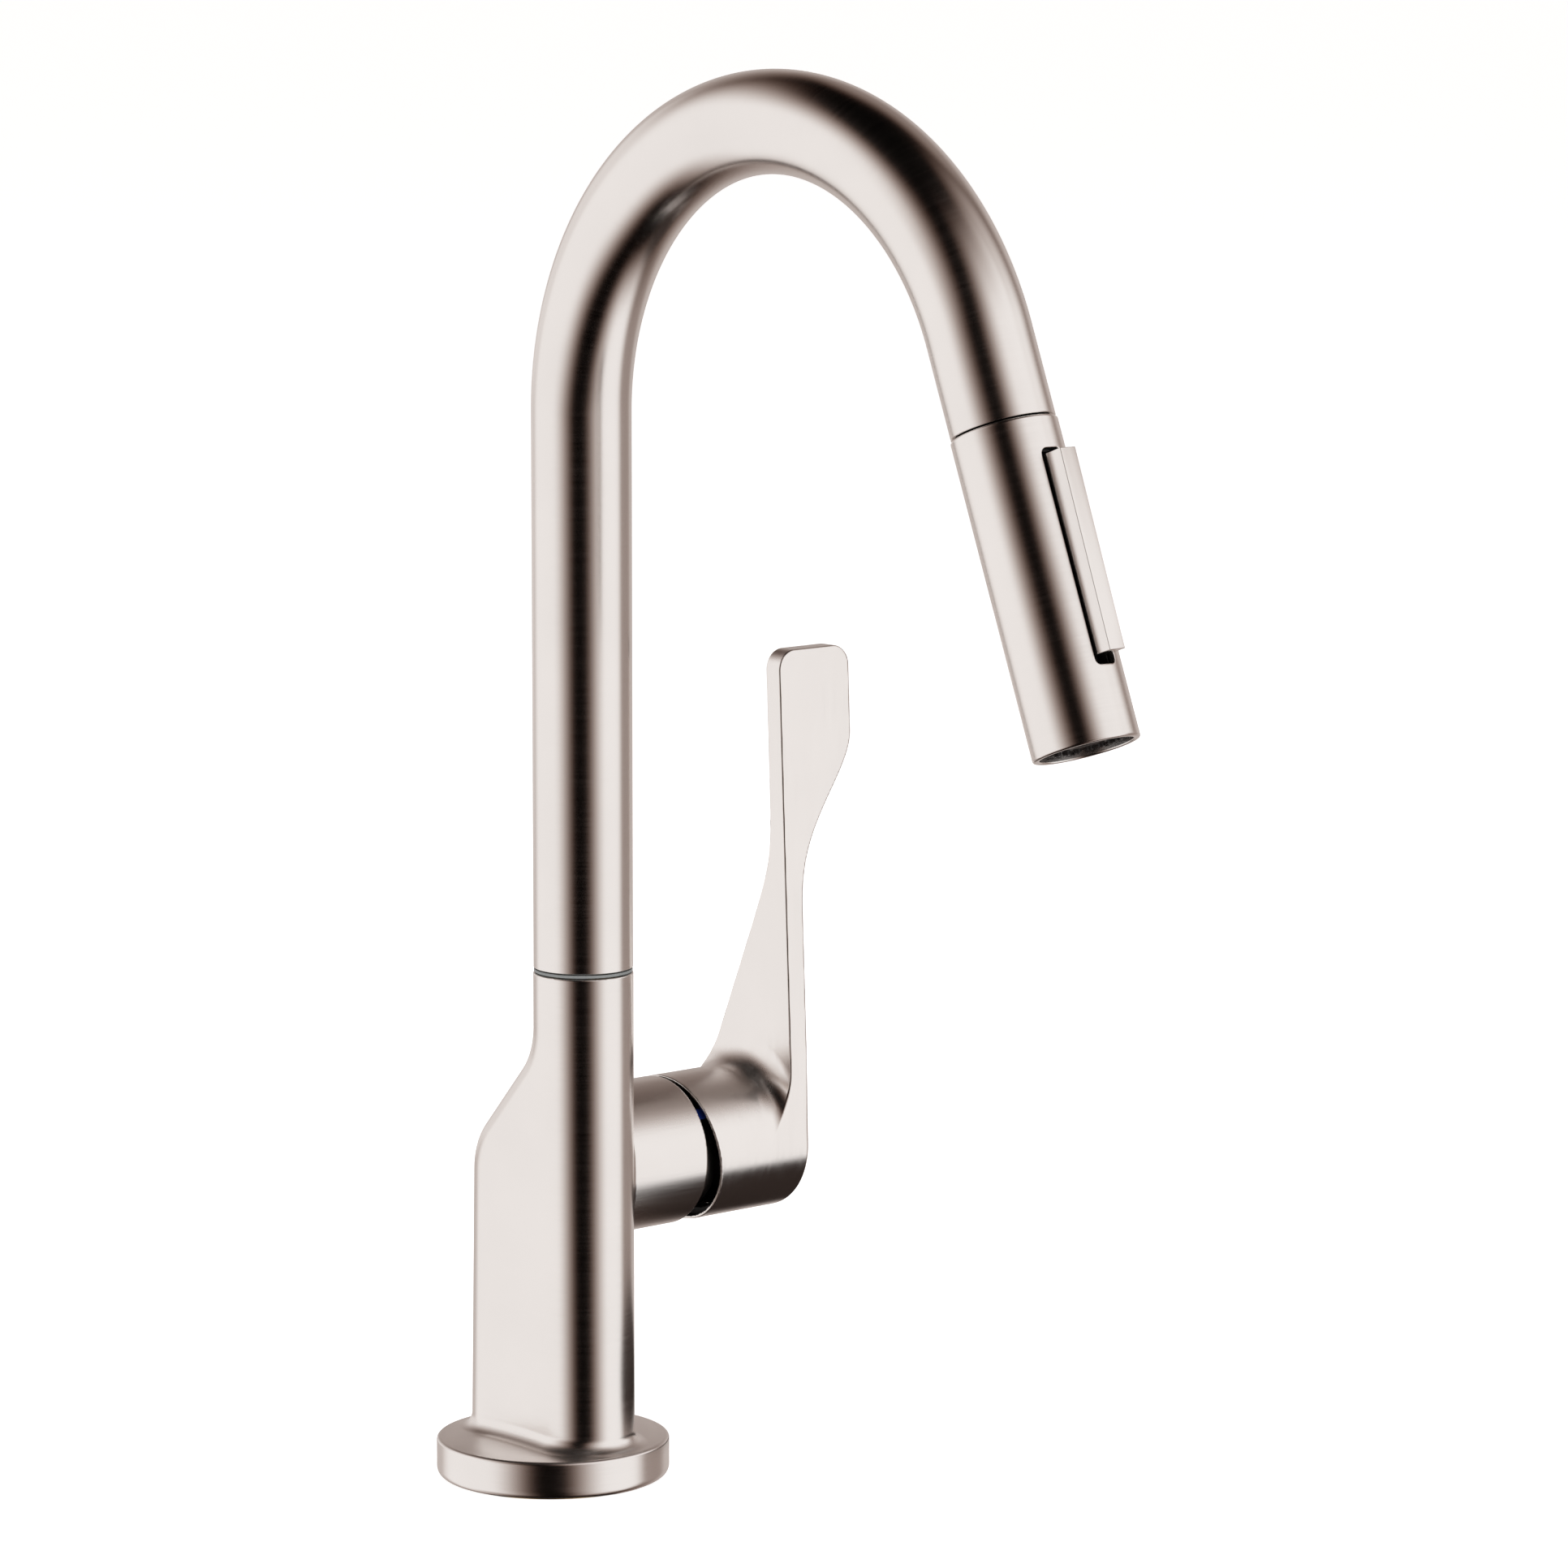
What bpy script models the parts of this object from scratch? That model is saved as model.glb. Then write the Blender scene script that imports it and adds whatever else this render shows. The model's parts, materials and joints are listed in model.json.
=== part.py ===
"""Pull-down kitchen faucet with a side lever, a swivelling arched spout and a docked spray head.

The origin is the centre of the round base on the deck, +Z is up, the spout reaches towards -Y and the
lever is on the +X side. Lengths are in metres and angles in degrees.
"""

import math

import bmesh
import bpy
from mathutils import Matrix, Vector

GAP = 0.0003  # clearance between pieces that touch

# Body and base
BODY_R = 0.0141  # half width of the body, and of its round ends
BODY_LENGTH = 0.0284  # between the centres of the two round ends, at the base
BODY_STEP = 0.0268  # the same, just below the shoulder
SPOUT_Y = -BODY_LENGTH / 2  # the spout stands on the front centre
BODY_TOP = 0.14725
SHOULDER_TOP = 0.1318
SHOULDER_BEND = 0.0202
SHOULDER_SLOPE = 42.0  # from upright
BASE_R = 0.0332
BASE_RIM = 0.0110
BASE_SLOPE = 0.155
BASE_FILLET = (0.0042, 0.0060)  # at the round ends, and along the flat sides
BASE_EDGE = 0.0025  # rounding under the rim
BASE_LIP = 0.0009  # rounding on top of the rim
BODY_WALL = 0.0024
PORT_FLOOR = 0.046  # underside of the floor that holds the water ports
PORT_SEAT_TOP = 0.0513
PORT_SEAT_R = 0.0037
PORT_RISER_R = 0.0024
WATER_WAY_R = 0.0022
HOSE_PASSAGE_R = 0.0102
JOURNAL_BORE_R = 0.0116
JOURNAL_SEAT = 0.112
SHANK_RECESS = (0.0235, 0.0073)  # radius and depth
GASKET_GROOVE = (0.0276, 0.0246, 0.0020)  # outer and inner radius, and depth
STOP_HEIGHT = 0.132  # of the screw that limits the spout's swing

# Lever side
HUB_Y = -0.0005
HUB_Z = 0.08876
HUB_R = 0.0214
HUB_END = 0.0400
CHAMBER_R = 0.0180
CHAMBER_FLOOR = 0.0120
PIVOT_X = 0.0440
HANDLE_LEAN = 2.18
HANDLE_BACK = 0.0791  # outer face of the handle's hub, on its axis
HANDLE_GAP_TILT = 9.3
HUB_MOUTH = 0.0447  # inner face of the handle's hub, on its axis
HUB_EDGE = 0.0012  # rounding of the hub's outer edge
CUP_MOUTH_R = 0.0205  # the cup is wider near its mouth
CUP_STEP = 0.0080  # distances along the cup are from the pivot
CUP_R = 0.0185
CUP_FLOOR = 0.0255
CUP_BOSS = (0.0075, 0.0065)  # radius, and where it starts
SET_SCREW_X = 0.0140
STEM_HALF = 0.0028  # half width of the square stem
PIN_HOLE_R = 0.00155
FLOW = 20.0  # tilt of the lever from shut to fully open
DISC_REST = 0.0029  # the moving disc starts off centre, below the hub's axis
PORTS = {
    "hot_inlet": (-0.0070, 0.0045, HUB_Z + 0.0065),
    "cold_inlet": (0.0070, 0.0045, HUB_Z - 0.0065),
    "mixed_outlet": (0.0, 0.0130, HUB_Z),
}
LEVER_THICK = 0.0066
LEVER_INSET = 0.00005  # from the hub's outer face
LEVER_TOP = 0.2331
LEVER_THIN = 0.0060
LEVER_BLEND = 0.0022
PADDLE_WIDTH = 0.0268
PADDLE_START = 0.155
PADDLE_FULL = 0.208
LEVER_BACK_ANGLE = 25.2
LEVER_CORNER = 0.0060  # rounding of the lever's upper end
LEVER_EDGE = 0.0007

# Spout
TUBE_R = 0.0140
TUBE_WALL = 0.0020
TUBE_START = 0.1487
ARC_START = 0.3052
ARC_R = 0.0828
ARC_SWEEP = 158.63
TUBE_STRAIGHT = 0.0254
SWIVEL = 90.0  # swing of the spout to each side

# Spray head, in its own frame: the seam is at 0 and the outlet points down
HEAD_LENGTH = 0.0864
HEAD_R = 0.0143
HEAD_TURN = 4.6
HEAD_TILT = 180.0 - ARC_SWEEP  # lean from upright, about X
HEAD_DOWN = Vector((0.0, -math.sin(math.radians(HEAD_TILT)), -math.cos(math.radians(HEAD_TILT))))
NOZZLES = 12
NOZZLE_CIRCLE = 0.0092
ROCKER_PIN = (0.0102, -0.03775)  # distance in front of the head's axis, and height
ROCKER_PIN_R = 0.0009
ROCKER_BORE_R = 0.0012
BAR_HALF = 0.02685  # half length of the selector bar
BAR_WIDTH = 0.0059
BAR_TOP_OUT = 0.0195  # its outer face from the head's axis, at the top and at the bottom
BAR_LOW_OUT = 0.0187
SPOOL_Z = -0.0540

# Under the deck
DECK = 0.030
SHANK_R = 0.0163
SHANK_BORE = 0.01375
SHANK_END = -0.060
SHANK_SCREW_X = 0.0200
SCREW_HOLE_R = 0.0018
WASHER = (0.0280, 0.0168)  # outer and inner radius
NUT_R = 0.0250
NUT_HEIGHT = 0.010

# Spray hose
HOSE_R = 0.0062
HOSE_SHIFT = 0.0068  # how far it moves back between the spout and the shank
HOSE_BEND = (0.082, 0.074)  # top and height of the stretch where it does
HOSE_LOW_END = -0.052

ROUND_STEPS = 20
SMALL_STEPS = 14


def collection(name):
    made = bpy.data.collections.new(name)
    bpy.context.scene.collection.children.link(made)
    return made


def paint(name, colour, roughness, metallic):
    """A plain Principled material."""
    made = bpy.data.materials.new(name)
    made.use_nodes = True
    shader = made.node_tree.nodes["Principled BSDF"]
    shader.inputs["Base Color"].default_value = (*colour, 1.0)
    shader.inputs["Roughness"].default_value = roughness
    shader.inputs["Metallic"].default_value = metallic
    return made


def frame(name, location, tilt=(0.0, 0.0, 0.0), parent=None):
    """An empty that stands on a joint's axis; tilt is in degrees."""
    made = bpy.data.objects.new(name, None)
    made.location = location
    made.rotation_euler = [math.radians(angle) for angle in tilt]
    made.parent = parent
    made.empty_display_size = 0.01
    PARTS.objects.link(made)
    return made


def add(name, mesh, material, parent=None, location=(0.0, 0.0, 0.0)):
    """An object from a mesh. With no material it is a cutter."""
    made = bpy.data.objects.new(name, mesh)
    made.location = location
    made.parent = parent
    if material:
        mesh.materials.append(material)
        mesh.shade_smooth()
        mesh.set_sharp_from_angle(angle=math.radians(35))
        PARTS.objects.link(made)
    else:
        made.hide_render = True
        made.display_type = "WIRE"
        CUTTERS.objects.link(made)
    return made


def add_bmesh(name, bm, material, parent=None, location=(0.0, 0.0, 0.0)):
    bmesh.ops.recalc_face_normals(bm, faces=bm.faces)
    mesh = bpy.data.meshes.new(name)
    bm.to_mesh(mesh)
    bm.free()
    return add(name, mesh, material, parent, location)


def turned(name, profile, material=None, parent=None, location=(0.0, 0.0, 0.0), steps=ROUND_STEPS):
    """A profile of (radius, height) points turned about Z. It runs down the outer side first. An outline
    that starts and ends on the axis stays open there, and any other is closed into a ring."""
    bm = bmesh.new()
    points = [bm.verts.new((radius, 0.0, height)) for radius, height in profile]
    on_axis = profile[0][0] == 0.0 and profile[-1][0] == 0.0
    ends = points[1:] if on_axis else points[1:] + points[:1]
    for start, end in zip(points, ends):
        bm.edges.new((start, end))
    mesh = bpy.data.meshes.new(name)
    bm.to_mesh(mesh)
    bm.free()
    made = add(name, mesh, material, parent, location)
    screw = made.modifiers.new("turn", "SCREW")
    screw.axis = "Z"
    screw.steps = steps
    screw.render_steps = steps
    screw.use_merge_vertices = True
    screw.merge_threshold = 1e-5
    return made


def ring(name, outer, inner, top, bottom, material=None, parent=None, steps=ROUND_STEPS):
    profile = [(outer, top), (outer, bottom), (inner, bottom), (inner, top)]
    return turned(name, profile, material, parent, steps=steps)


def rod(name, radius, start, end, material=None, parent=None, steps=SMALL_STEPS):
    """A straight cylinder between two points."""
    start, end = Vector(start), Vector(end)
    along = end - start
    turn = along.to_track_quat("Z", "Y").to_matrix().to_4x4()
    bm = bmesh.new()
    bmesh.ops.create_cone(
        bm,
        cap_ends=True,
        segments=steps,
        radius1=radius,
        radius2=radius,
        depth=along.length,
        matrix=Matrix.Translation((start + end) / 2) @ turn,
    )
    return add_bmesh(name, bm, material, parent)


def box(name, low, high, material=None, parent=None, round_edges=0.0, along="Y"):
    """A box between two corners. round_edges rounds the four edges that run along one direction."""
    low, high = Vector(low), Vector(high)
    size = high - low
    bm = bmesh.new()
    bmesh.ops.create_cube(bm, size=1.0, matrix=Matrix.Translation((low + high) / 2) @ Matrix.Diagonal((*size, 1.0)))
    if round_edges:
        index = "XYZ".index(along)
        edges = [e for e in bm.edges if abs((e.verts[0].co - e.verts[1].co)[index]) > 0.5 * size[index]]
        bmesh.ops.bevel(bm, geom=edges, offset=round_edges, segments=3, affect="EDGES", profile=0.5)
    return add_bmesh(name, bm, material, parent)


def prism(name, outline, low, high, material=None, parent=None, across="Y"):
    """A flat outline given a thickness from low to high. Its points are (x, z) across Y, or (x, y) across Z."""
    bm = bmesh.new()

    def corner(a, b, depth):
        return (a, depth, b) if across == "Y" else (a, b, depth)

    face = bm.faces.new([bm.verts.new(corner(a, b, low)) for a, b in outline])
    grown = bmesh.ops.extrude_face_region(bm, geom=[face])
    moved = [item for item in grown["geom"] if isinstance(item, bmesh.types.BMVert)]
    shift = high - low
    bmesh.ops.translate(bm, verts=moved, vec=(0, shift, 0) if across == "Y" else (0, 0, shift))
    return add_bmesh(name, bm, material, parent)


def sector(name, inner, outer, low, high, middle, half_angle, material=None, parent=None, steps=10):
    """Part of a ring about Z: a rectangle swept through twice half_angle, centred on the angle middle."""
    bm = bmesh.new()
    corners = [(inner, low), (outer, low), (outer, high), (inner, high)]
    face = bm.faces.new([bm.verts.new((radius, 0.0, height)) for radius, height in corners])
    start = Matrix.Rotation(math.radians(middle - half_angle), 3, "Z")
    bmesh.ops.rotate(bm, verts=bm.verts, cent=(0, 0, 0), matrix=start)
    sweep = math.radians(2 * half_angle)
    bmesh.ops.spin(bm, geom=[face, *face.edges, *face.verts], cent=(0, 0, 0), axis=(0, 0, 1), angle=sweep, steps=steps)
    return add_bmesh(name, bm, material, parent)


def loft(name, rings, material=None, parent=None):
    """Rings of points with the same count, joined in order and closed at both ends."""
    bm = bmesh.new()
    rows = [[bm.verts.new(point) for point in points] for points in rings]
    for lower, upper in zip(rows, rows[1:]):
        for a, b, c, d in zip(lower, lower[1:] + lower[:1], upper[1:] + upper[:1], upper):
            bm.faces.new((a, b, c, d))
    bm.faces.new(rows[0])
    bm.faces.new(rows[-1])
    bmesh.ops.remove_doubles(bm, verts=bm.verts, dist=1e-6)
    return add_bmesh(name, bm, material, parent)


def tube(name, path, radius, material, parent=None, sides=4, wall=0.0):
    """A round bar along a path, or with a wall a pipe that is open at both ends."""
    curve = bpy.data.curves.new(name, "CURVE")
    curve.dimensions = "3D"
    curve.bevel_depth = radius
    curve.bevel_resolution = sides
    curve.use_fill_caps = wall == 0.0
    spline = curve.splines.new("POLY")
    spline.points.add(len(path) - 1)
    for point, place in zip(spline.points, path):
        point.co = (*place, 1.0)
    if not wall:
        made = bpy.data.objects.new(name, curve)
        made.parent = parent
        curve.materials.append(material)
        PARTS.objects.link(made)
        return made
    guide = bpy.data.objects.new(name + "_guide", curve)
    PARTS.objects.link(guide)
    graph = bpy.context.evaluated_depsgraph_get()
    mesh = bpy.data.meshes.new_from_object(guide.evaluated_get(graph))
    bpy.data.objects.remove(guide, do_unlink=True)
    bm = bmesh.new()
    bm.from_mesh(mesh)
    bmesh.ops.remove_doubles(bm, verts=bm.verts, dist=1e-6)
    made = add_bmesh(name, bm, material, parent)
    shell = made.modifiers.new("wall", "SOLIDIFY")
    shell.thickness = wall
    shell.offset = -1.0
    shell.use_even_offset = True
    return made


def boolean(target, others, operation):
    for other in others:
        made = target.modifiers.new(other.name, "BOOLEAN")
        made.operation = operation
        made.solver = "EXACT"
        made.object = other


def cut(target, *others):
    boolean(target, others, "DIFFERENCE")


def join(target, *others):
    boolean(target, others, "UNION")


def arc(centre, radius, start, end, count):
    """Points on an arc in a plane, both ends included, with angles in degrees."""
    found = []
    for step in range(count + 1):
        angle = math.radians(start + (end - start) * step / count)
        found.append((centre[0] + radius * math.cos(angle), centre[1] + radius * math.sin(angle)))
    return found


def smooth(share):
    """Eases from 0 to 1 with level ends."""
    share = min(1.0, max(0.0, share))
    return share * share * (3.0 - 2.0 * share)


def body_length(height):
    """Distance between the centres of the body's two round ends: none above the shoulder, then a slope
    between two arcs, and a slight draft down to the base."""
    slope = math.radians(SHOULDER_SLOPE)
    bend = SHOULDER_BEND * math.sin(slope)
    rise = SHOULDER_BEND * (1.0 - math.cos(slope))
    total = 2 * bend + (BODY_STEP - 2 * rise) / math.tan(slope)
    depth = SHOULDER_TOP - height
    if depth <= 0.0:
        return 0.0
    if depth >= total:
        draft = (BODY_LENGTH - BODY_STEP) / (SHOULDER_TOP - BASE_RIM - total)
        return BODY_STEP + draft * (depth - total)
    if depth <= bend:
        return SHOULDER_BEND - math.sqrt(SHOULDER_BEND**2 - depth**2)
    if depth >= total - bend:
        return BODY_STEP - SHOULDER_BEND + math.sqrt(SHOULDER_BEND**2 - (total - depth) ** 2)
    return rise + (depth - bend) * math.tan(slope)


def stadium(radius, length, count=10):
    """Outline with two round ends, whose front end is centred on the spout's axis."""
    back = arc((0.0, SPOUT_Y + length), radius, 0, 180, count)
    front = arc((0.0, SPOUT_Y), radius, 180, 360, count)
    return back + front


def base_height(radius):
    """Top of the base, which rises a little towards the body."""
    return BASE_RIM + BASE_SLOPE * (BASE_R - radius)


def body_rings():
    """Rings up the body: a fillet out of the base, the straight sides, and the shoulder at the back."""
    plain = stadium(BODY_R, BODY_LENGTH)
    outside = stadium(BODY_R + 1.0, BODY_LENGTH)
    rings = []
    for angle in (-90, 0, 22.5, 45, 67.5, 90):
        turn = math.radians(angle)
        points = []
        for (px, py), (ox, oy) in zip(plain, outside):
            nx, ny = ox - px, oy - py
            fillet = BASE_FILLET[0] + (BASE_FILLET[1] - BASE_FILLET[0]) * abs(nx)
            foot = base_height(math.hypot(px + nx * fillet, py + ny * fillet))
            out = fillet * (1.0 - max(0.0, math.sin(turn)))
            rise = fillet * (1.0 - math.cos(turn)) if angle >= 0 else -0.003
            points.append((px + nx * out, py + ny * out, foot + rise))
        rings.append(points)
    low = SHOULDER_TOP - 0.0453
    heights = [0.030] + [low + (SHOULDER_TOP - low) * step / 11 for step in range(12)] + [BODY_TOP]
    for height in heights:
        rings.append([(x, y, height) for x, y in stadium(BODY_R, body_length(height))])
    return rings


def make_body():
    body = loft("body_shell", body_rings(), NICKEL)
    edge = arc((BASE_R - BASE_EDGE, BASE_EDGE), BASE_EDGE, 0, -90, 4)
    rim = arc((BASE_R - BASE_LIP, BASE_RIM - BASE_LIP), BASE_LIP, 90, 0, 3)
    base = turned("body_base", [(0.0, base_height(0.0)), *rim, *edge, (0.0, 0.0)], steps=44)
    hub = rod("body_hub", HUB_R, (0.0, HUB_Y, HUB_Z), (HUB_END, HUB_Y, HUB_Z), steps=36)
    join(body, base, hub)
    inner = stadium(BODY_R - BODY_WALL, BODY_LENGTH)
    cavity = prism("body_cavity", inner, -0.001, PORT_FLOOR, across="Z")
    passage = rod("hose_passage", HOSE_PASSAGE_R, (0, SPOUT_Y, -0.001), (0, SPOUT_Y, 0.113), steps=20)
    bore = rod("journal_bore", JOURNAL_BORE_R, (0, SPOUT_Y, JOURNAL_SEAT), (0, SPOUT_Y, 0.15), steps=24)
    chamber = rod("cartridge_chamber", CHAMBER_R, (CHAMBER_FLOOR, HUB_Y, HUB_Z), (0.042, HUB_Y, HUB_Z), steps=28)
    recess_r, recess_top = SHANK_RECESS
    recess = rod("shank_recess", recess_r, (0, 0, -0.001), (0, 0, recess_top), steps=24)
    groove_out, groove_in, groove_top = GASKET_GROOVE
    groove = ring("gasket_groove", groove_out, groove_in, groove_top, -0.001)
    hole_from, hole_to = SPOUT_Y + 0.010, SPOUT_Y + 0.016
    stop_hole = rod("stop_screw_hole", 0.0022, (0, hole_from, STOP_HEIGHT), (0, hole_to, STOP_HEIGHT), steps=14)
    cut(body, cavity, passage, bore, chamber, recess, groove, stop_hole)
    for name, (x, y, channel_z) in PORTS.items():
        seat = rod(name + "_seat", PORT_SEAT_R, (x, y, PORT_FLOOR - 0.001), (x, y, PORT_SEAT_TOP))
        riser = rod(name + "_riser", PORT_RISER_R, (x, y, PORT_SEAT_TOP - 0.0003), (x, y, channel_z), steps=12)
        channel_end = (CHAMBER_FLOOR + 0.0005, y, channel_z)
        channel = rod(name + "_channel", WATER_WAY_R, (x - 0.001, y, channel_z), channel_end, steps=12)
        cut(body, seat, riser, channel)
    for side, name in ((1, "right"), (-1, "left")):
        x = side * SHANK_SCREW_X
        cut(body, rod(f"shank_hole_{name}", SCREW_HOLE_R, (x, 0, 0.006), (x, 0, 0.0113), steps=12))


def make_base_fixings():
    ring("base_gasket", 0.0273, 0.0249, 0.0017, 0.0, RUBBER)
    profile = [
        (0.0232, 0.0070), (0.0232, 0.0030), (SHANK_R, 0.0030), (SHANK_R, SHANK_END + 0.001),
        (SHANK_R - 0.001, SHANK_END), (SHANK_BORE, SHANK_END), (SHANK_BORE, 0.0070),
    ]
    shank = turned("mounting_shank", profile, BRASS, steps=28)
    for side, name in ((1, "right"), (-1, "left")):
        x = side * SHANK_SCREW_X
        cut(shank, rod(f"flange_hole_{name}", SCREW_HOLE_R, (x, 0, 0.001), (x, 0, 0.009), steps=12))
        screw = [(0.0, 0.0110), (0.0015, 0.0110), (0.0015, 0.0027), (0.0026, 0.0027), (0.0026, 0.0009), (0.0, 0.0009)]
        turned(f"shank_screw_{name}", screw, STEEL, location=(x, 0, 0), steps=12)
    outer, inner = WASHER
    ring("friction_washer", outer, inner, -DECK, -DECK - 0.003, RUBBER)
    ring("clamp_washer", outer, inner, -DECK - 0.0033, -DECK - 0.0053, STEEL)
    nut_top = -DECK - 0.0056
    nut_bottom = nut_top - NUT_HEIGHT
    nut = rod("mounting_nut", NUT_R, (0, 0, nut_bottom), (0, 0, nut_top), BRASS, steps=6)
    cut(nut, rod("nut_bore", SHANK_R + GAP, (0, 0, nut_bottom - 0.002), (0, 0, nut_top + 0.002), steps=24))


def make_port_fittings():
    profile = [
        (0.0034, 0.0506), (0.0034, 0.0440), (0.0042, 0.0440), (0.0042, 0.0400), (0.0034, 0.0400),
        (0.0034, 0.0340), (0.0021, 0.0340), (0.0021, 0.0506),
    ]
    for name, (x, y, _) in PORTS.items():
        turned(name + "_fitting", profile, BRASS, location=(x, y, 0), steps=14)


def hose_route():
    """Down from the spout's journal, across into the shank and out below it."""
    top = JOURNAL_SEAT - GAP
    bend_top, bend_height = HOSE_BEND
    points = []
    for step in range(19):
        height = top + (HOSE_LOW_END - top) * step / 18
        across = smooth((bend_top - height) / bend_height)
        points.append((0.0, SPOUT_Y + HOSE_SHIFT * across, height))
    return points


def make_body_hose():
    tube("hose_in_body", hose_route(), HOSE_R, BRAID, sides=2)
    y = SPOUT_Y + HOSE_SHIFT
    top = HOSE_LOW_END - GAP
    profile = [(HOSE_R, top), (HOSE_R, -0.0640), (0.0048, -0.0640), (0.0048, -0.0700), (0.0028, -0.0700), (0.0028, top)]
    turned("hose_end_connector", profile, BRASS, location=(0, y, 0), steps=SMALL_STEPS)


def make_swivel_bearing():
    turned("swivel_ring", [(0.0139, 0.1484), (0.0139, 0.14755), (0.0116, 0.14755), (0.0116, 0.1484)],
           GREY_PLASTIC, location=(0, SPOUT_Y, 0), steps=32)
    turned("thrust_washer", [(0.0112, 0.1138), (0.0112, 0.1123), (0.0090, 0.1123), (0.0090, 0.1138)],
           GREY_PLASTIC, location=(0, SPOUT_Y, 0))
    screw_from, screw_to = SPOUT_Y + 0.0104, SPOUT_Y + 0.0138
    rod("swivel_stop_screw", 0.0019, (0, screw_from, STOP_HEIGHT), (0, screw_to, STOP_HEIGHT), STEEL, steps=12)


def torus(name, major, minor, height, material, parent):
    """An O-ring as a turned circle."""
    circle = arc((major, height), minor, 90, -270, 6)[:-1]
    return turned(name, circle, material, parent, steps=18)


def spout_path():
    """Up the riser, over the arch and down to the seam with the spray head."""
    points = [(0.0, SPOUT_Y, TUBE_START)]
    for y, z in arc((SPOUT_Y - ARC_R, ARC_START), ARC_R, 0, ARC_SWEEP, 20):
        points.append((0.0, y, z))
    end = Vector(points[-1]) + HEAD_DOWN * (TUBE_STRAIGHT - GAP / 2)
    return [*points, tuple(end)]


def make_spout():
    axis = frame("spout_axis", (0, SPOUT_Y, 0))
    path = [(x, y - SPOUT_Y, z) for x, y, z in spout_path()]
    tube("spout_tube", path, TUBE_R, NICKEL, axis, sides=7, wall=TUBE_WALL)
    profile = [
        (0.0117, 0.1680), (0.0117, 0.1490), (0.0112, 0.1488), (0.0112, 0.1410), (0.0096, 0.1410), (0.0096, 0.1382),
        (0.0112, 0.1382), (0.0112, 0.1266), (0.0096, 0.1266), (0.0096, 0.1238), (0.0112, 0.1238), (0.0112, 0.1141),
        (0.0084, 0.1141), (0.0084, 0.1680),
    ]
    journal = turned("spout_journal", profile, BRASS, axis)
    slot_low, slot_high = STOP_HEIGHT - 0.0023, STOP_HEIGHT + 0.0023
    slot = sector("stop_slot", 0.0099, 0.0125, slot_low, slot_high, 90, SWIVEL + 12, parent=axis, steps=16)
    cut(journal, slot)
    torus("upper_o_ring", 0.01065, 0.0007, 0.1396, RUBBER, axis)
    torus("lower_o_ring", 0.01065, 0.0007, 0.1252, RUBBER, axis)
    hose = [(0.0, 0.0, JOURNAL_SEAT + GAP), *path[1:-1]]
    end = Vector(path[-1]) - HEAD_DOWN * 0.0122
    tube("hose_in_spout", [*hose, tuple(end)], HOSE_R, BRAID, axis, sides=2)
    dock = frame("dock_frame", Vector(path[-1]), (-HEAD_TILT, 0, 0), axis)
    ring("dock_magnet", 0.0099, 0.0076, 0.0198, 0.0140, STEEL, dock)
    sleeve = [
        (0.0117, 0.0225), (0.0117, 0.0005), (0.0103, 0.0005), (0.0103, 0.0201), (0.0082, 0.0201), (0.0082, 0.0225),
    ]
    turned("dock_sleeve", sleeve, DARK_PLASTIC, dock)


def make_cartridge():
    """The mixing cartridge lies along +X in the side hub. In its frame, height is the distance from the body."""
    axis = frame("temperature_axis", (0, HUB_Y, HUB_Z), (0, 90, 0))
    holes = {name: (HUB_Z - z, y - HUB_Y) for name, (_, y, z) in PORTS.items()}
    seal = ring("cartridge_seal", 0.0168, 0.0030, 0.0135, 0.0123, RUBBER, axis)
    housing = turned("cartridge_housing", [
        (0.0174, 0.0336), (0.0174, 0.0138), (0.0030, 0.0138), (0.0030, 0.0168), (0.0146, 0.0168), (0.0146, 0.0336),
    ], DARK_PLASTIC, axis)
    fixed_disc = turned("fixed_ceramic_disc", [(0.0, 0.0201), (0.0142, 0.0201), (0.0142, 0.0171), (0.0, 0.0171)],
                        CERAMIC, axis)
    for name, (x, y) in holes.items():
        hole = rod(name + "_way", WATER_WAY_R, (x, y, 0.0115), (x, y, 0.022), parent=axis, steps=12)
        cut(seal, hole)
        cut(housing, hole)
        cut(fixed_disc, hole)
    ring("cartridge_cap", 0.0143, 0.0105, 0.0334, 0.0315, GREY_PLASTIC, axis)
    nut = ring("cartridge_nut", 0.0176, 0.0110, 0.0390, 0.0339, BRASS, axis)
    cut(nut, rod("nut_hexagon", 0.0145, (0, 0, 0.0365), (0, 0, 0.0400), parent=axis, steps=6))
    index = turned("index_ring", [
        (0.0173, 0.0468), (0.0177, 0.0464), (0.0177, 0.0393), (0.0105, 0.0393), (0.0105, 0.0468),
    ], DARK_PLASTIC, axis, steps=32)
    for name, middle, material in (("cold_mark", 180 + 48, BLUE), ("hot_mark", 180 - 48, RED)):
        cut(index, sector(name + "_pocket", 0.0168, 0.0185, 0.0415, 0.0458, middle, 6.5, parent=axis, steps=3))
        sector(name, 0.0171, 0.01765, 0.0418, 0.0455, middle, 5.5, material, axis, steps=3)
    make_carriage(axis)
    make_discs(axis)


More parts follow.
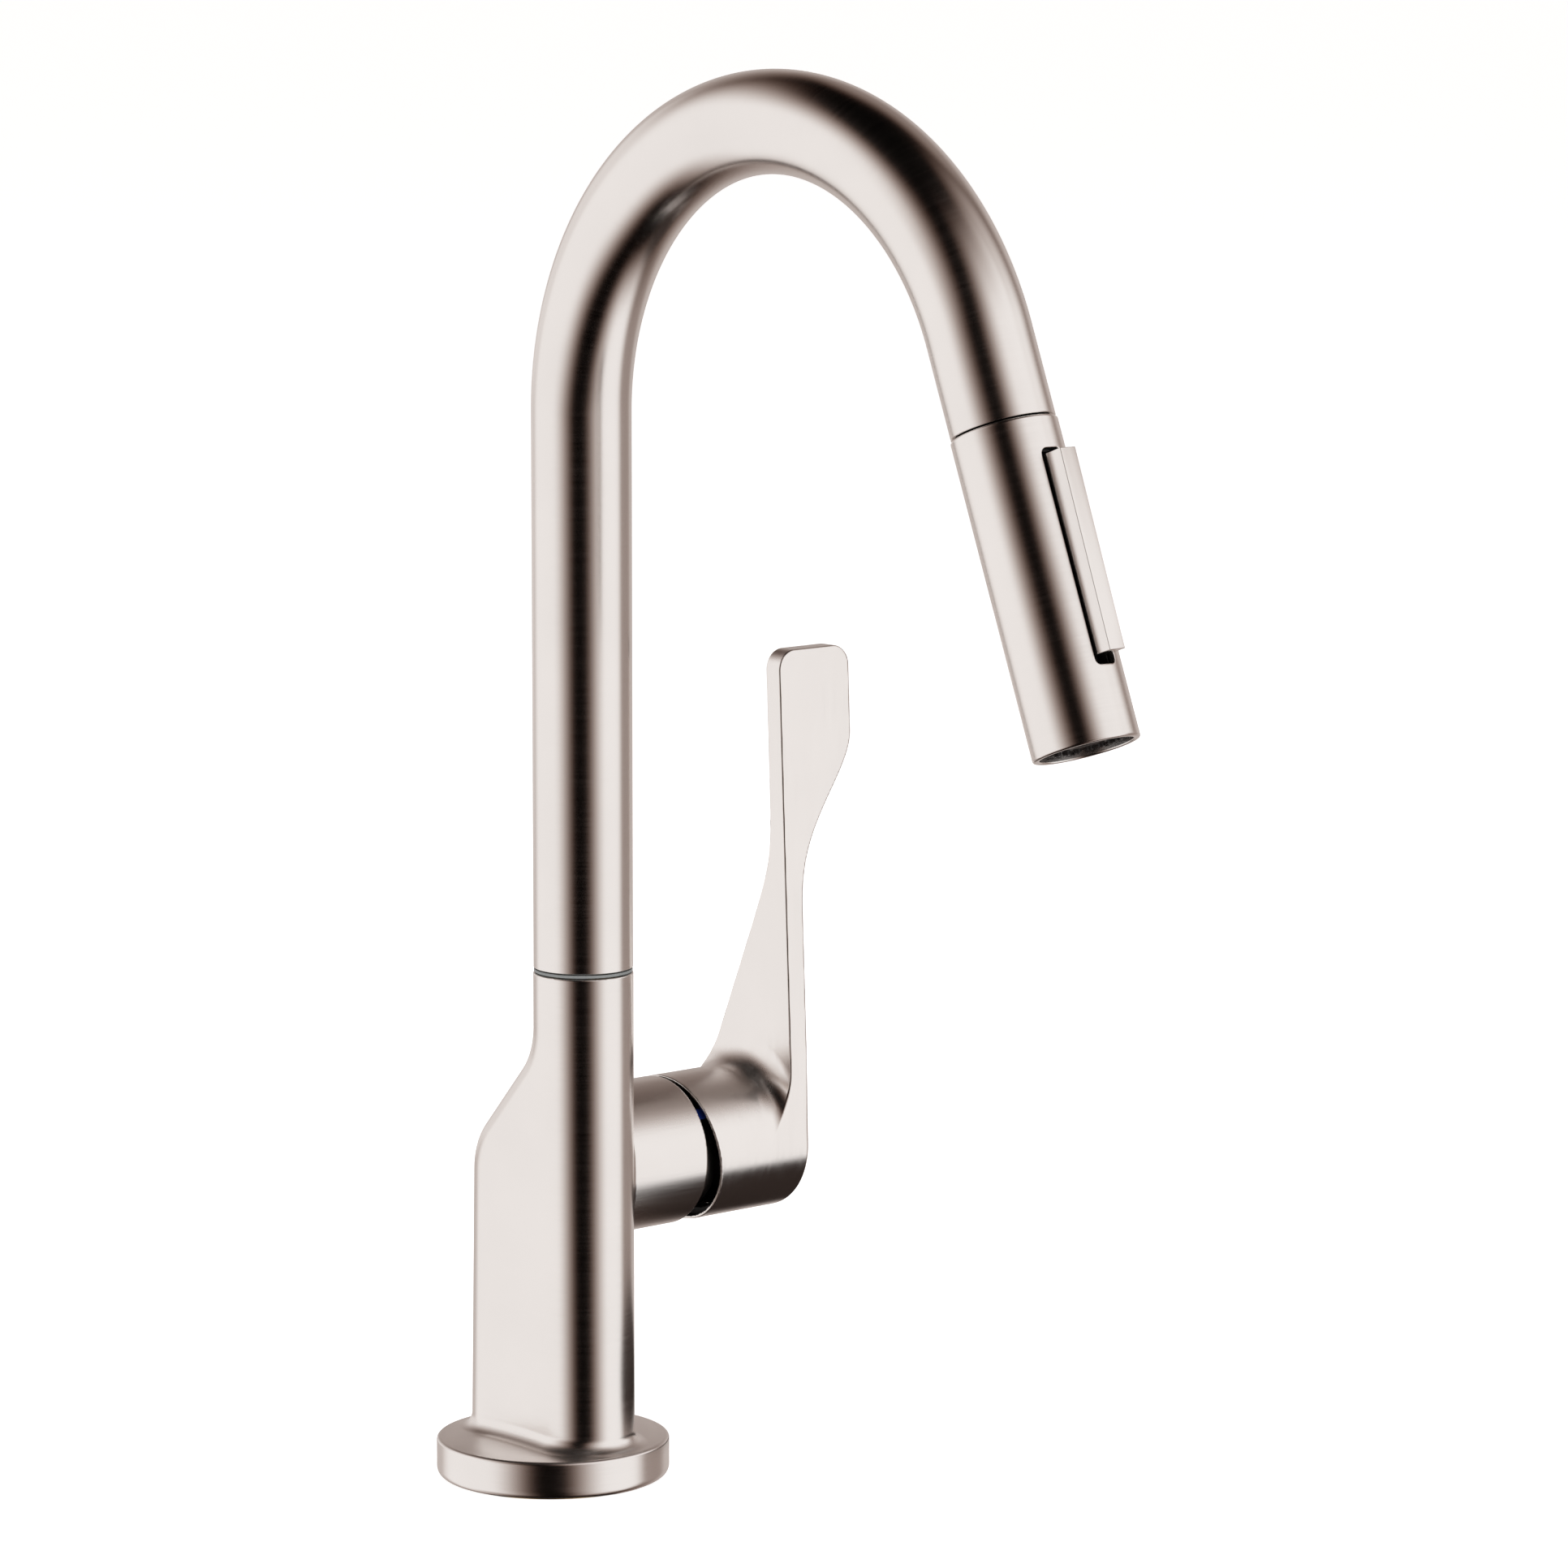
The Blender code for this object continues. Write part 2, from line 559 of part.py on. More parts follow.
def make_carriage(axis):
    """Turns with the lever for temperature, and holds the pin that the lever tilts on for flow."""
    carriage = turned("cartridge_carriage", [
        (0.0, 0.0465), (0.0092, 0.0465), (0.0100, 0.0457), (0.0100, 0.0310), (0.0141, 0.0310), (0.0141, 0.0280),
        (0.0, 0.0280),
    ], GREY_PLASTIC, axis)
    swing = math.tan(math.radians(FLOW + 1)) * (PIVOT_X - 0.027)
    slot = [(-0.0033 - swing, 0.0270), (0.0034, 0.0270), (0.0046, 0.0480), (-0.0034, 0.0480), (-0.0034, PIVOT_X)]
    cut(carriage, prism("stem_slot", slot, -0.0032, 0.0032, parent=axis))
    cut(carriage, rod("pin_hole", PIN_HOLE_R, (0, -0.012, PIVOT_X), (0, 0.012, PIVOT_X), parent=axis, steps=14))
    rod("lever_pin", 0.00125, (0, -0.0090, PIVOT_X), (0, 0.0090, PIVOT_X), STEEL, axis, steps=14)


def make_discs(axis):
    """The moving ceramic disc and its carrier, pushed across the fixed disc by the stem's ball."""
    slide = frame("disc_slide", (DISC_REST, 0, 0), parent=axis)
    moving = turned("moving_ceramic_disc", [(0.0, 0.0234), (0.0096, 0.0234), (0.0096, 0.0204), (0.0, 0.0204)],
                    CERAMIC, slide)
    cut(moving, rod("mixing_pocket", 0.0058, (0, 0, 0.0200), (0, 0, 0.0217), parent=slide))
    carrier = turned("disc_carrier", [(0.0, 0.0277), (0.0096, 0.0277), (0.0096, 0.0237), (0.0, 0.0237)],
                     GREY_PLASTIC, slide)
    cut(carrier, rod("ball_socket", 0.0029, (0, 0, 0.0243), (0, 0, 0.0290), parent=axis))


def lever_depth(height):
    """Thickness of the lever from front to back: thin at the top, and wide where it leaves the hub."""
    slope = math.radians(LEVER_BACK_ANGLE)
    above = height - HUB_Z
    if above < HUB_R * math.sin(slope):
        return HUB_R + math.sqrt((HUB_R - 0.0005) ** 2 - above**2)
    wide = HUB_R + (HUB_R - above * math.sin(slope)) / math.cos(slope)
    return LEVER_THIN + LEVER_BLEND * math.log1p(math.exp((wide - LEVER_THIN) / LEVER_BLEND))


def lever_width(height):
    """Width of the lever along X: a thin plate below that spreads outwards into a paddle."""
    share = min(1.0, max(0.0, (height - PADDLE_START) / (PADDLE_FULL - PADDLE_START)))
    return LEVER_THICK + (PADDLE_WIDTH - LEVER_THICK) * smooth(share**1.48)


def lever_rings():
    """Rounded rectangles up the lever. The inner side leans towards the body, and the top is rounded."""
    rings = []
    start, end = HUB_Z + 0.0015, LEVER_TOP
    corner = LEVER_CORNER
    straight = PADDLE_START - 0.005
    heights = [start + (straight - start) * step / 6 for step in range(6)]
    heights += [straight + (end - corner - straight) * step / 16 for step in range(17)]
    heights += [end - corner + corner * math.sin(math.radians(angle)) for angle in (20, 40, 60, 78, 90)]
    for height in heights:
        inner = lever_inner(height)
        outer = inner + lever_width(height)
        if height > end - corner:
            left = end - height
            drop = corner - math.sqrt(max(0.0, corner**2 - (corner - left) ** 2))
            outer -= drop
            inner += 0.6 * drop
        front = -HUB_R
        back = front + lever_depth(height)
        soft = LEVER_EDGE
        outline = [
            (outer - soft, front), (outer, front + soft), (outer, back - soft), (outer - soft, back),
            (inner + soft, back), (inner, back - soft), (inner, front + soft), (inner + soft, front),
        ]
        rings.append([(x - PIVOT_X, y, height - HUB_Z) for x, y in outline])
    return rings


def lever_inner(height):
    """The face of the lever that looks at the spout."""
    outer = HANDLE_BACK - LEVER_INSET - (height - HUB_Z) * math.tan(math.radians(HANDLE_LEAN))
    return outer - LEVER_THICK


def hub_rings(sides=40):
    """Circles along the handle's hub, from its slanting mouth to its slightly leaning outer face."""
    mouth = math.tan(math.radians(HANDLE_GAP_TILT))
    lean = math.tan(math.radians(HANDLE_LEAN))
    stations = [(HUB_MOUTH, HUB_R - 0.0004, mouth), (HUB_MOUTH + 0.0004, HUB_R, mouth)]
    for angle in (0, 30, 60, 90):
        turn = math.radians(angle)
        along = HANDLE_BACK - HUB_EDGE * (1.0 - math.sin(turn))
        stations.append((along, HUB_R - HUB_EDGE * (1.0 - math.cos(turn)), lean))
    rings = []
    for along, radius, slant in stations:
        circle = [2 * math.pi * (step + 0.5) / sides for step in range(sides)]
        rings.append([
            (along - PIVOT_X - radius * math.sin(a) * slant, radius * math.cos(a), radius * math.sin(a))
            for a in circle
        ])
    return rings


def make_handle():
    pivot = frame("flow_pivot", (PIVOT_X, HUB_Y, HUB_Z))
    handle = loft("handle", hub_rings(), NICKEL, pivot)
    join(handle, loft("lever_blade", lever_rings(), parent=pivot))
    boss_r, boss_start = CUP_BOSS
    mouth = rod("cup_mouth", CUP_MOUTH_R, (-0.010, 0, 0), (CUP_STEP, 0, 0), parent=pivot, steps=32)
    cup = rod("cup_hollow", CUP_R, (CUP_STEP - 0.001, 0, 0), (CUP_FLOOR, 0, 0), parent=pivot, steps=32)
    boss = rod("cup_boss", boss_r, (boss_start, 0, 0), (0.030, 0, 0), parent=pivot, steps=24)
    cut(handle, mouth, cup)
    join(handle, boss)
    fit = STEM_HALF + GAP
    square = box("stem_socket", (0.0050, -fit, -fit), (0.0205, fit, fit), parent=pivot)
    screw_hole = rod("set_screw_hole", 0.0023, (SET_SCREW_X, 0, -0.023), (SET_SCREW_X, 0, -0.002), parent=pivot)
    cut(handle, square, screw_hole)
    rod("handle_set_screw", 0.0020, (SET_SCREW_X, 0, -0.0090), (SET_SCREW_X, 0, -fit), STEEL, pivot)
    rod("set_screw_plug", 0.0020, (SET_SCREW_X, 0, -0.0212), (SET_SCREW_X, 0, -0.0188), GREY_PLASTIC, pivot)
    stem_low, stem_high = (-0.0155, -STEM_HALF, -STEM_HALF), (0.0200, STEM_HALF, STEM_HALF)
    stem = box("cartridge_stem", stem_low, stem_high, STEEL, pivot)
    bm = bmesh.new()
    bmesh.ops.create_uvsphere(bm, u_segments=14, v_segments=9, radius=0.0024)
    ball = add_bmesh("stem_ball", bm, None, pivot, (-0.0170, 0, 0))
    join(stem, ball)
    cut(stem, rod("stem_pin_hole", PIN_HOLE_R, (0, -0.005, 0), (0, 0.005, 0), parent=pivot, steps=14))


def make_pull_carrier(head):
    """The hose's end, which pulls out with the head while the head turns about it."""
    profile = [
        (0.0069, 0.0120), (0.0069, 0.0040), (0.0073, 0.0040), (0.0073, 0.0002), (0.0060, 0.0002), (0.0060, -0.0018),
        (0.0073, -0.0018), (0.0073, -0.0040), (0.0040, -0.0040), (0.0040, 0.0120),
    ]
    turned("hose_connector", profile, STEEL, head)
    torus("connector_o_ring", 0.00690, 0.00055, -0.0008, RUBBER, head)


def make_head(head):
    """The spray head's casing, waterway and outlet, turned a little about its axis."""
    bottom = -HEAD_LENGTH
    shell = turned("head_shell", [
        (HEAD_R - 0.0010, -0.00015), (HEAD_R, -0.00115), (HEAD_R, bottom + 0.0008), (HEAD_R - 0.0006, bottom),
        (HEAD_R - 0.0014, bottom), (0.0125, bottom + 0.0005), (0.0125, -0.0030), (0.0103, -0.0030),
        (0.0103, -0.00015),
    ], NICKEL, head, steps=36)
    cut(shell, box("rocker_slot", (-0.00335, -0.020, -0.0670), (0.00335, -0.009, -0.0095), parent=head,
                   round_edges=0.0015))
    core = turned("head_core", [
        (0.0099, 0.0102), (0.0099, -0.0033), (0.0121, -0.0033), (0.0121, -0.0802), (0.0095, -0.0802),
        (0.0095, -0.0720), (0.0050, -0.0700), (0.0050, -0.0120), (0.0076, -0.0120), (0.0076, 0.0102),
    ], DARK_PLASTIC, head)
    pin_out, pin_z = ROCKER_PIN
    pocket = box("rocker_pocket", (-0.0037, -0.0130, -0.0665), (0.0037, -0.0080, -0.0100), parent=head)
    pin_from, pin_to = (-0.0051, -pin_out, pin_z), (0.0051, -pin_out, pin_z)
    pin_hole = rod("rocker_pin_hole", ROCKER_BORE_R, pin_from, pin_to, parent=head, steps=12)
    spool_bore = rod("spool_bore", 0.0027, (0, -0.013, SPOOL_Z), (0, 0.0044, SPOOL_Z), parent=head, steps=16)
    cut(core, pocket, pin_hole, spool_bore)
    rod("rocker_pin", ROCKER_PIN_R, (-0.0048, -pin_out, pin_z), (0.0048, -pin_out, pin_z), STEEL, head, steps=10)
    ring("dock_ring", 0.0099, 0.0079, 0.0135, 0.0105, STEEL, head)
    ring("check_valve", 0.0072, 0.0032, -0.0043, -0.0116, GREY_PLASTIC, head, steps=20)
    face = turned("spray_face", [
        (0.0121, bottom + 0.0050), (0.0121, bottom + 0.0022), (0.0063, bottom + 0.0022), (0.0063, bottom + 0.0050),
    ], RUBBER, head, steps=24)
    for index in range(NOZZLES):
        angle = 2 * math.pi * index / NOZZLES
        x, y = NOZZLE_CIRCLE * math.cos(angle), NOZZLE_CIRCLE * math.sin(angle)
        nozzle_from, nozzle_to = (x, y, bottom + 0.0012), (x, y, bottom + 0.0030)
        nozzle = rod(f"nozzle_{index + 1}", 0.0009, nozzle_from, nozzle_to, parent=head, steps=6)
        join(face, nozzle)
    turned("aerator", [
        (0.0059, bottom + 0.0150), (0.0059, bottom + 0.0018), (0.0036, bottom + 0.0018), (0.0036, bottom + 0.0030),
        (0.0046, bottom + 0.0030), (0.0046, bottom + 0.0150),
    ], GREY_PLASTIC, head, steps=20)


def make_rocker(head):
    """The selector bar on the head's front, which rocks on a pin between stream and spray."""
    pin_out, pin_z = ROCKER_PIN
    rocker = frame("rocker_axis", (0, -pin_out, pin_z), parent=head)
    top_out, low_out = BAR_TOP_OUT - pin_out, BAR_LOW_OUT - pin_out
    inner_out = 0.0012
    half = BAR_HALF
    side = [(-low_out, -half), (-inner_out, -half), (-inner_out - 0.0004, half), (-top_out, half)]
    bm = bmesh.new()
    face = bm.faces.new([bm.verts.new((-BAR_WIDTH / 2, y, z)) for y, z in side])
    grown = bmesh.ops.extrude_face_region(bm, geom=[face])
    moved = [item for item in grown["geom"] if isinstance(item, bmesh.types.BMVert)]
    bmesh.ops.translate(bm, verts=moved, vec=(BAR_WIDTH, 0, 0))
    bar = add_bmesh("selector_rocker", bm, NICKEL, rocker)
    boss = rod("rocker_boss", 0.0018, (-0.0028, 0, 0), (0.0028, 0, 0), parent=rocker)
    join(bar, boss)
    cut(bar, rod("rocker_bore", ROCKER_BORE_R, (-0.004, 0, 0), (0.004, 0, 0), parent=rocker, steps=12))
    rod("diverter_spool", 0.0023, (0, -0.0110, SPOOL_Z), (0, 0.0038, SPOOL_Z), GREY_PLASTIC, head, steps=16)


for leftover in list(bpy.data.objects):
    bpy.data.objects.remove(leftover, do_unlink=True)

PARTS = collection("pull_down_faucet")
CUTTERS = collection("cutters")

NICKEL = paint("brushed_nickel", (0.70, 0.64, 0.60), 0.28, 1.0)
BRASS = paint("brass", (0.78, 0.60, 0.28), 0.35, 1.0)
STEEL = paint("steel", (0.62, 0.62, 0.63), 0.35, 1.0)
RUBBER = paint("rubber", (0.04, 0.04, 0.04), 0.75, 0.0)
DARK_PLASTIC = paint("dark_plastic", (0.03, 0.03, 0.03), 0.45, 0.0)
GREY_PLASTIC = paint("grey_plastic", (0.42, 0.43, 0.43), 0.45, 0.0)
CERAMIC = paint("ceramic", (0.90, 0.89, 0.86), 0.20, 0.0)
BRAID = paint("braided_hose", (0.35, 0.35, 0.36), 0.60, 0.0)
BLUE = paint("blue_mark", (0.02, 0.08, 0.45), 0.40, 0.0)
RED = paint("red_mark", (0.50, 0.02, 0.02), 0.40, 0.0)

make_body()
make_base_fixings()
make_port_fittings()
make_body_hose()
make_swivel_bearing()
make_spout()
make_cartridge()
make_handle()
SEAM = Vector(spout_path()[-1]) + HEAD_DOWN * GAP / 2
head_axis = frame("pull_out_axis", SEAM, (-HEAD_TILT, 0, 0))
head_turn = frame("head_turn", (0, 0, 0), (0, 0, HEAD_TURN), head_axis)
make_pull_carrier(head_axis)
make_head(head_turn)
make_rocker(head_turn)
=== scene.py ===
"""Looks of a pull-down kitchen faucet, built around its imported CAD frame. Metres, +Z up."""

import json
import math

import bmesh
import bpy
import numpy as np
from mathutils import Matrix, Vector
from numpy import hypot, maximum, minimum


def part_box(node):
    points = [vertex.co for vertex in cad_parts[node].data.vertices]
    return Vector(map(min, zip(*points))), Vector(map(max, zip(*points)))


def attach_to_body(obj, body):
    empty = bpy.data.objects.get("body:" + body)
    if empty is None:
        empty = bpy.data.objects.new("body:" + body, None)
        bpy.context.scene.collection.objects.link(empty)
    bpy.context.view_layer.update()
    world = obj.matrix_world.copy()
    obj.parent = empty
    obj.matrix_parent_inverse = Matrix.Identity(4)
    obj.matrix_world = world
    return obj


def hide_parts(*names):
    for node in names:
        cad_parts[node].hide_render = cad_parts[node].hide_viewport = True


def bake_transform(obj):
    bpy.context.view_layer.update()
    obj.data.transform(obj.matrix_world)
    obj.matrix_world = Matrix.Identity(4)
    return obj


TURN = 2.0 * math.pi

scene = bpy.context.scene
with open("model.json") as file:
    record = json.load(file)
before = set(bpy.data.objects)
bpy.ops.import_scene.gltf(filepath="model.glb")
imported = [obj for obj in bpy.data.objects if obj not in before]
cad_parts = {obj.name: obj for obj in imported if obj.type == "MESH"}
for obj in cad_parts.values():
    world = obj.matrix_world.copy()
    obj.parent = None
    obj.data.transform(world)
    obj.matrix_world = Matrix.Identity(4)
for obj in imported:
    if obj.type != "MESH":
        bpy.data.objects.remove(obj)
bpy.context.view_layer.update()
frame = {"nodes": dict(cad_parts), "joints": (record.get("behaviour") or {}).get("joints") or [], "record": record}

JOINTS = {joint["name"]: joint for joint in frame["joints"]}

# Places that the frame gives.
SPOUT = Vector(JOINTS["spout_swivel"]["pos_m"])
SPOUT_Y = SPOUT.y
PIVOT = Vector(JOINTS["flow"]["pos_m"])
SEAM = Vector(JOINTS["head_twist"]["pos_m"])
HEAD_DOWN = Vector(JOINTS["head_twist"]["axis"])
HEAD_SIDE = -Vector(JOINTS["spray_selector"]["axis"])
PULL_LENGTH = JOINTS["pull_out"]["range_m"][1]
HUB_Y, HUB_Z = PIVOT.y, PIVOT.z
BODY_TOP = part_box("body_shell")[1].z
BASE_R = -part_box("body_shell")[0].x
HUB_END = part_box("body_shell")[1].x
LEVER_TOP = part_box("handle")[1].z


def middle_of(node):
    return sum(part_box(node), Vector()) / 2.0


FITTINGS = {name: middle_of(name) for name in (
    "hot_inlet_fitting", "cold_inlet_fitting", "mixed_outlet_fitting",
)}

# Body, in a plan view: two round ends joined by flat sides.
BODY_R = 0.0141
BODY_LENGTH = -2.0 * SPOUT_Y
BODY_STEP = 0.0268
SHOULDER_TOP = 0.1318
SHOULDER_BEND = 0.0202
SHOULDER_SLOPE = math.radians(42.0)
BASE_RIM = 0.011
BASE_SLOPE = 0.06
BASE_FILLET = 0.004
HUB_R = 0.0214
HUB_FILLET = 0.0009
BASE_EDGES = (0.0009, 0.0025)  # rounding of the base's upper and lower edge
FAR = 1.0

# Hollows of the body.
CHAMBER_R = 0.018
CHAMBER_BACK = 0.012
SEAT_R = 0.0116
SEAT_Z = 0.112  # where the spout's journal stands
HOSE_WAY_R = 0.0102
HOSE_WAY_TOP = 0.113
BODY_WALL = 0.0024
CAVITY_TOP = 0.046
SHANK_SEAT_R = 0.0235
SHANK_SEAT_TOP = 0.0073
GASKET_GROOVE = (0.0246, 0.0276, 0.002)  # inner radius, outer radius, depth
PORT_R = 0.0037
PORT_TOP = 0.0513

# Handle.
HUB_MOUTH = 0.0447
CUP_MOUTH_R = 0.0205
CUP_STEP = 0.052
CUP_R = 0.0185
CUP_FLOOR = 0.0695
MOUTH_TILT = math.tan(math.radians(9.3))
HANDLE_BACK = 0.0791
HANDLE_LEAN = math.tan(math.radians(2.18))
LEVER_THICK = 0.0066
LEVER_THIN = 0.006
LEVER_BLEND = 0.0022
LEVER_BACK_ANGLE = math.radians(25.2)
LEVER_FADE = 0.03  # height over which that extra rounding fades
LEVER_ROOT = 0.009  # fillet between the lever and its hub
PADDLE_WIDTH = 0.0268
PADDLE_START = 0.155
PADDLE_FULL = 0.208
PADDLE_SWELL = 1.48
PADDLE_CORNER = 0.006
LEVER_EDGE = 0.0005
HUB_END_EDGE = 0.0007  # how much rounder the outer edge is down on the hub
BOSS_R = 0.0075
BOSS_ENDS = (0.0505, 0.074)
SOCKET_HALF = 0.0031
SOCKET_MIDDLE = 0.056
SOCKET_DEPTH = 0.0085
SET_SCREW_X = 0.014  # from the pivot
SET_SCREW_R = 0.0023

# Spout and spray head.
TUBE_R = 0.014
TUBE_WALL = 0.002
TUBE_START = 0.1487
ARC_START = 0.3052
ARC_R = 0.0828
ARC_SWEEP = math.radians(158.63)
HEAD_R = 0.0143
HEAD_BOTTOM = -0.0864
HEAD_CHAMFER = 0.00045
HEAD_FOOT = 0.0007  # rounding of its lower edge
HEAD_BORE_R = 0.0125
HEAD_BORE_TOP = 0.003  # below the seam
HEAD_NECK_R = 0.0103
SEAM_LIP = 0.00015
SLOT_HALF_WIDTH = 0.0037
SLOT_HALF_LENGTH = 0.02895
SLOT_MIDDLE = -0.03825
SLOT_CORNER = 0.0017
SLOT_DEPTH_Y = -0.009
HOSE_R = 0.0062
GAP = 0.0003


# ---- frames

def placed(origin, z_axis, x_axis):
    """A matrix with its origin at a point and its Z and X along two directions."""
    z = Vector(z_axis).normalized()
    x = Vector(x_axis)
    x = (x - z * x.dot(z)).normalized()
    y = z.cross(x)
    matrix = Matrix((x, y, z)).transposed().to_4x4()
    matrix.translation = Vector(origin)
    return matrix


def upright_at(middle):
    return Matrix.Translation((middle.x, middle.y, 0.0))


STANDING = Matrix.Identity(4)
ON_SPOUT = Matrix.Translation((0.0, SPOUT_Y, 0.0))
ON_DOCK = placed(SEAM, -HEAD_DOWN, (1, 0, 0))
ON_HEAD = placed(SEAM, -HEAD_DOWN, HEAD_SIDE)
IN_HUB = placed((0.0, HUB_Y, HUB_Z), (1, 0, 0), (0, 0, -1))
PLUG = Matrix.Translation(PIVOT + Vector((SET_SCREW_X, 0.0, -0.0188)))


# ---- materials

def node_maker(tree):
    def make(kind, inputs=(), **settings):
        node = tree.nodes.new(kind)
        for key, value in settings.items():
            setattr(node, key, value)
        for key, value in dict(inputs).items():
            if hasattr(value, "is_output"):
                tree.links.new(value, node.inputs[key])
            else:
                node.inputs[key].default_value = value
        return node
    return make


def shader_of(name, colour, roughness, metallic=0.0, **sockets):
    material = bpy.data.materials.new(name)
    material.use_nodes = True
    shader = material.node_tree.nodes["Principled BSDF"]
    shader.inputs["Base Color"].default_value = (*colour, 1.0)
    shader.inputs["Roughness"].default_value = roughness
    shader.inputs["Metallic"].default_value = metallic
    for key, value in sockets.items():
        shader.inputs[key.replace("_", " ")].default_value = value
    return material, shader, node_maker(material.node_tree)


GLOSS_SPREAD = 0.035
MOTTLE = 0.04
MOTTLE_SCALE = 28.0
QUARTER_TURN = 0.25


def surface(name, colour, roughness, metallic=0.0, stretch=(1, 1, 1), lines=900.0, line_depth=7e-7,
            coordinates="Object", upward=0.0, brushed=0.0, **sockets):
    """A finish with fine grain in its gloss and relief and a slow change of colour. Upward is how much duller
    faces are that look up, and brushed is the strength of brushing around Z."""
    material, shader, make = shader_of(name, colour, roughness, metallic, **sockets)
    link = material.node_tree.links.new
    where = make("ShaderNodeTexCoord").outputs[coordinates]
    scaled = make("ShaderNodeMapping", {"Vector": where, "Scale": stretch}).outputs["Vector"]
    grain = make("ShaderNodeTexNoise", {"Vector": scaled, "Scale": lines, "Detail": 4.0, "Roughness": 0.65})
    gloss = make("ShaderNodeMapRange", {
        "Value": grain.outputs["Fac"], "From Min": 0.3, "From Max": 0.7,
        "To Min": max(0.0, roughness - GLOSS_SPREAD), "To Max": roughness + GLOSS_SPREAD,
    })
    dull = gloss.outputs["Result"]
    if upward:
        normal = make("ShaderNodeTexCoord").outputs["Normal"]
        facing = make("ShaderNodeSeparateXYZ", {"Vector": normal}).outputs["Z"]
        extra = make("ShaderNodeMapRange", {
            "Value": facing, "From Min": 0.25, "From Max": 0.85, "To Min": 0.0, "To Max": upward,
        }, interpolation_type="SMOOTHSTEP").outputs["Result"]
        dull = make("ShaderNodeMath", {0: dull, 1: extra}, operation="ADD").outputs[0]
    link(dull, shader.inputs["Roughness"])
    if brushed:
        shader.inputs["Anisotropic"].default_value = brushed
        shader.inputs["Anisotropic Rotation"].default_value = QUARTER_TURN
        tangent = make("ShaderNodeTangent", direction_type="RADIAL", axis="Z")
        link(tangent.outputs[0], shader.inputs["Tangent"])
    cloud = make("ShaderNodeTexNoise", {"Vector": where, "Scale": MOTTLE_SCALE, "Detail": 3.0})
    shade = make("ShaderNodeMix", {"Factor": cloud.outputs["Fac"]}, data_type="RGBA")
    darker, paler = [socket for socket in shade.inputs if socket.type == "RGBA"]
    darker.default_value = (*(value * (1.0 - MOTTLE) for value in colour), 1.0)
    paler.default_value = (*(min(1.0, value * (1.0 + MOTTLE)) for value in colour), 1.0)
    result = [socket for socket in shade.outputs if socket.type == "RGBA"][0]
    link(result, shader.inputs["Base Color"])
    relief = make("ShaderNodeBump", {"Strength": 1.0, "Distance": line_depth, "Height": grain.outputs["Fac"]})
    link(relief.outputs["Normal"], shader.inputs["Normal"])
    return material


NICKEL_COLOUR = (0.93, 0.893, 0.868)
NICKEL_ROUGHNESS = 0.21
AROUND_Z = (0.05, 0.05, 3.0)
ALONG_UV = (3.0, 0.05, 0.05)
ALONG_BAR = (2.0, 0.05, 0.05)
UP_THE_LEVER = (0.6, 0.6, 0.05)

NICKEL_BODY = surface("nickel_body", NICKEL_COLOUR, NICKEL_ROUGHNESS, 1.0, AROUND_Z, upward=0.12)
NICKEL_HANDLE = surface("nickel_handle", NICKEL_COLOUR, NICKEL_ROUGHNESS, 1.0, UP_THE_LEVER, upward=0.12)
NICKEL_HEAD = surface("nickel_head", NICKEL_COLOUR, NICKEL_ROUGHNESS + 0.02, 1.0, AROUND_Z, brushed=0.4)
NICKEL_TUBE = surface("nickel_tube", NICKEL_COLOUR, NICKEL_ROUGHNESS, 1.0, ALONG_UV, coordinates="UV")
NICKEL_BAR = surface("nickel_bar", NICKEL_COLOUR, NICKEL_ROUGHNESS, 1.0, ALONG_BAR)
BRASS = surface("machined_brass", (0.74, 0.55, 0.27), 0.3, 1.0, AROUND_Z)
STEEL = surface("machined_steel", (0.62, 0.62, 0.63), 0.32, 1.0, AROUND_Z)
RUBBER = surface("matte_rubber", (0.022, 0.022, 0.023), 0.7, lines=2500.0, line_depth=8e-6)
FACE_RUBBER = surface("spray_face_rubber", (0.01, 0.008, 0.0075), 0.3, lines=2500.0, line_depth=3e-6,
                      Specular_IOR_Level=0.3)
DARK_PLASTIC = surface("dark_moulded_plastic", (0.016, 0.015, 0.015), 0.42, lines=1800.0, line_depth=4e-6)
GREY_PLASTIC = surface("grey_moulded_plastic", (0.22, 0.235, 0.235), 0.45, lines=1800.0, line_depth=4e-6)
CERAMIC = surface("lapped_ceramic", (0.84, 0.82, 0.78), 0.18, lines=1200.0, line_depth=1e-6)
BLUE = surface("blue_plastic", (0.012, 0.035, 0.26), 0.35, lines=1500.0, line_depth=3e-6)
RED = surface("red_plastic", (0.42, 0.015, 0.015), 0.35, lines=1500.0, line_depth=3e-6)
GREY_RING = surface("grey_bearing_ring", (0.22, 0.235, 0.235), 0.38, lines=1800.0, line_depth=3e-6)
COLLAR_METAL = surface("index_collar_metal", (0.5, 0.46, 0.44), 0.24, 1.0, AROUND_Z)
OUTLET_PLASTIC = surface("outlet_plastic", (0.016, 0.013, 0.012), 0.34, lines=1800.0, line_depth=4e-6,
                         Specular_IOR_Level=0.35)
# Painted shade: a dark finish put on faces inside hollows (the handle's cup, the head's slot and bore) to stand
# for the shade in them.
PAINTED_SHADE_INSIDE = surface("dark_painted_shade", (0.03, 0.027, 0.025), 0.55, 0.4, lines=700.0, line_depth=2e-5)


STRAND_ANGLE = 0.7854
STRAND_SCALE = 210.0


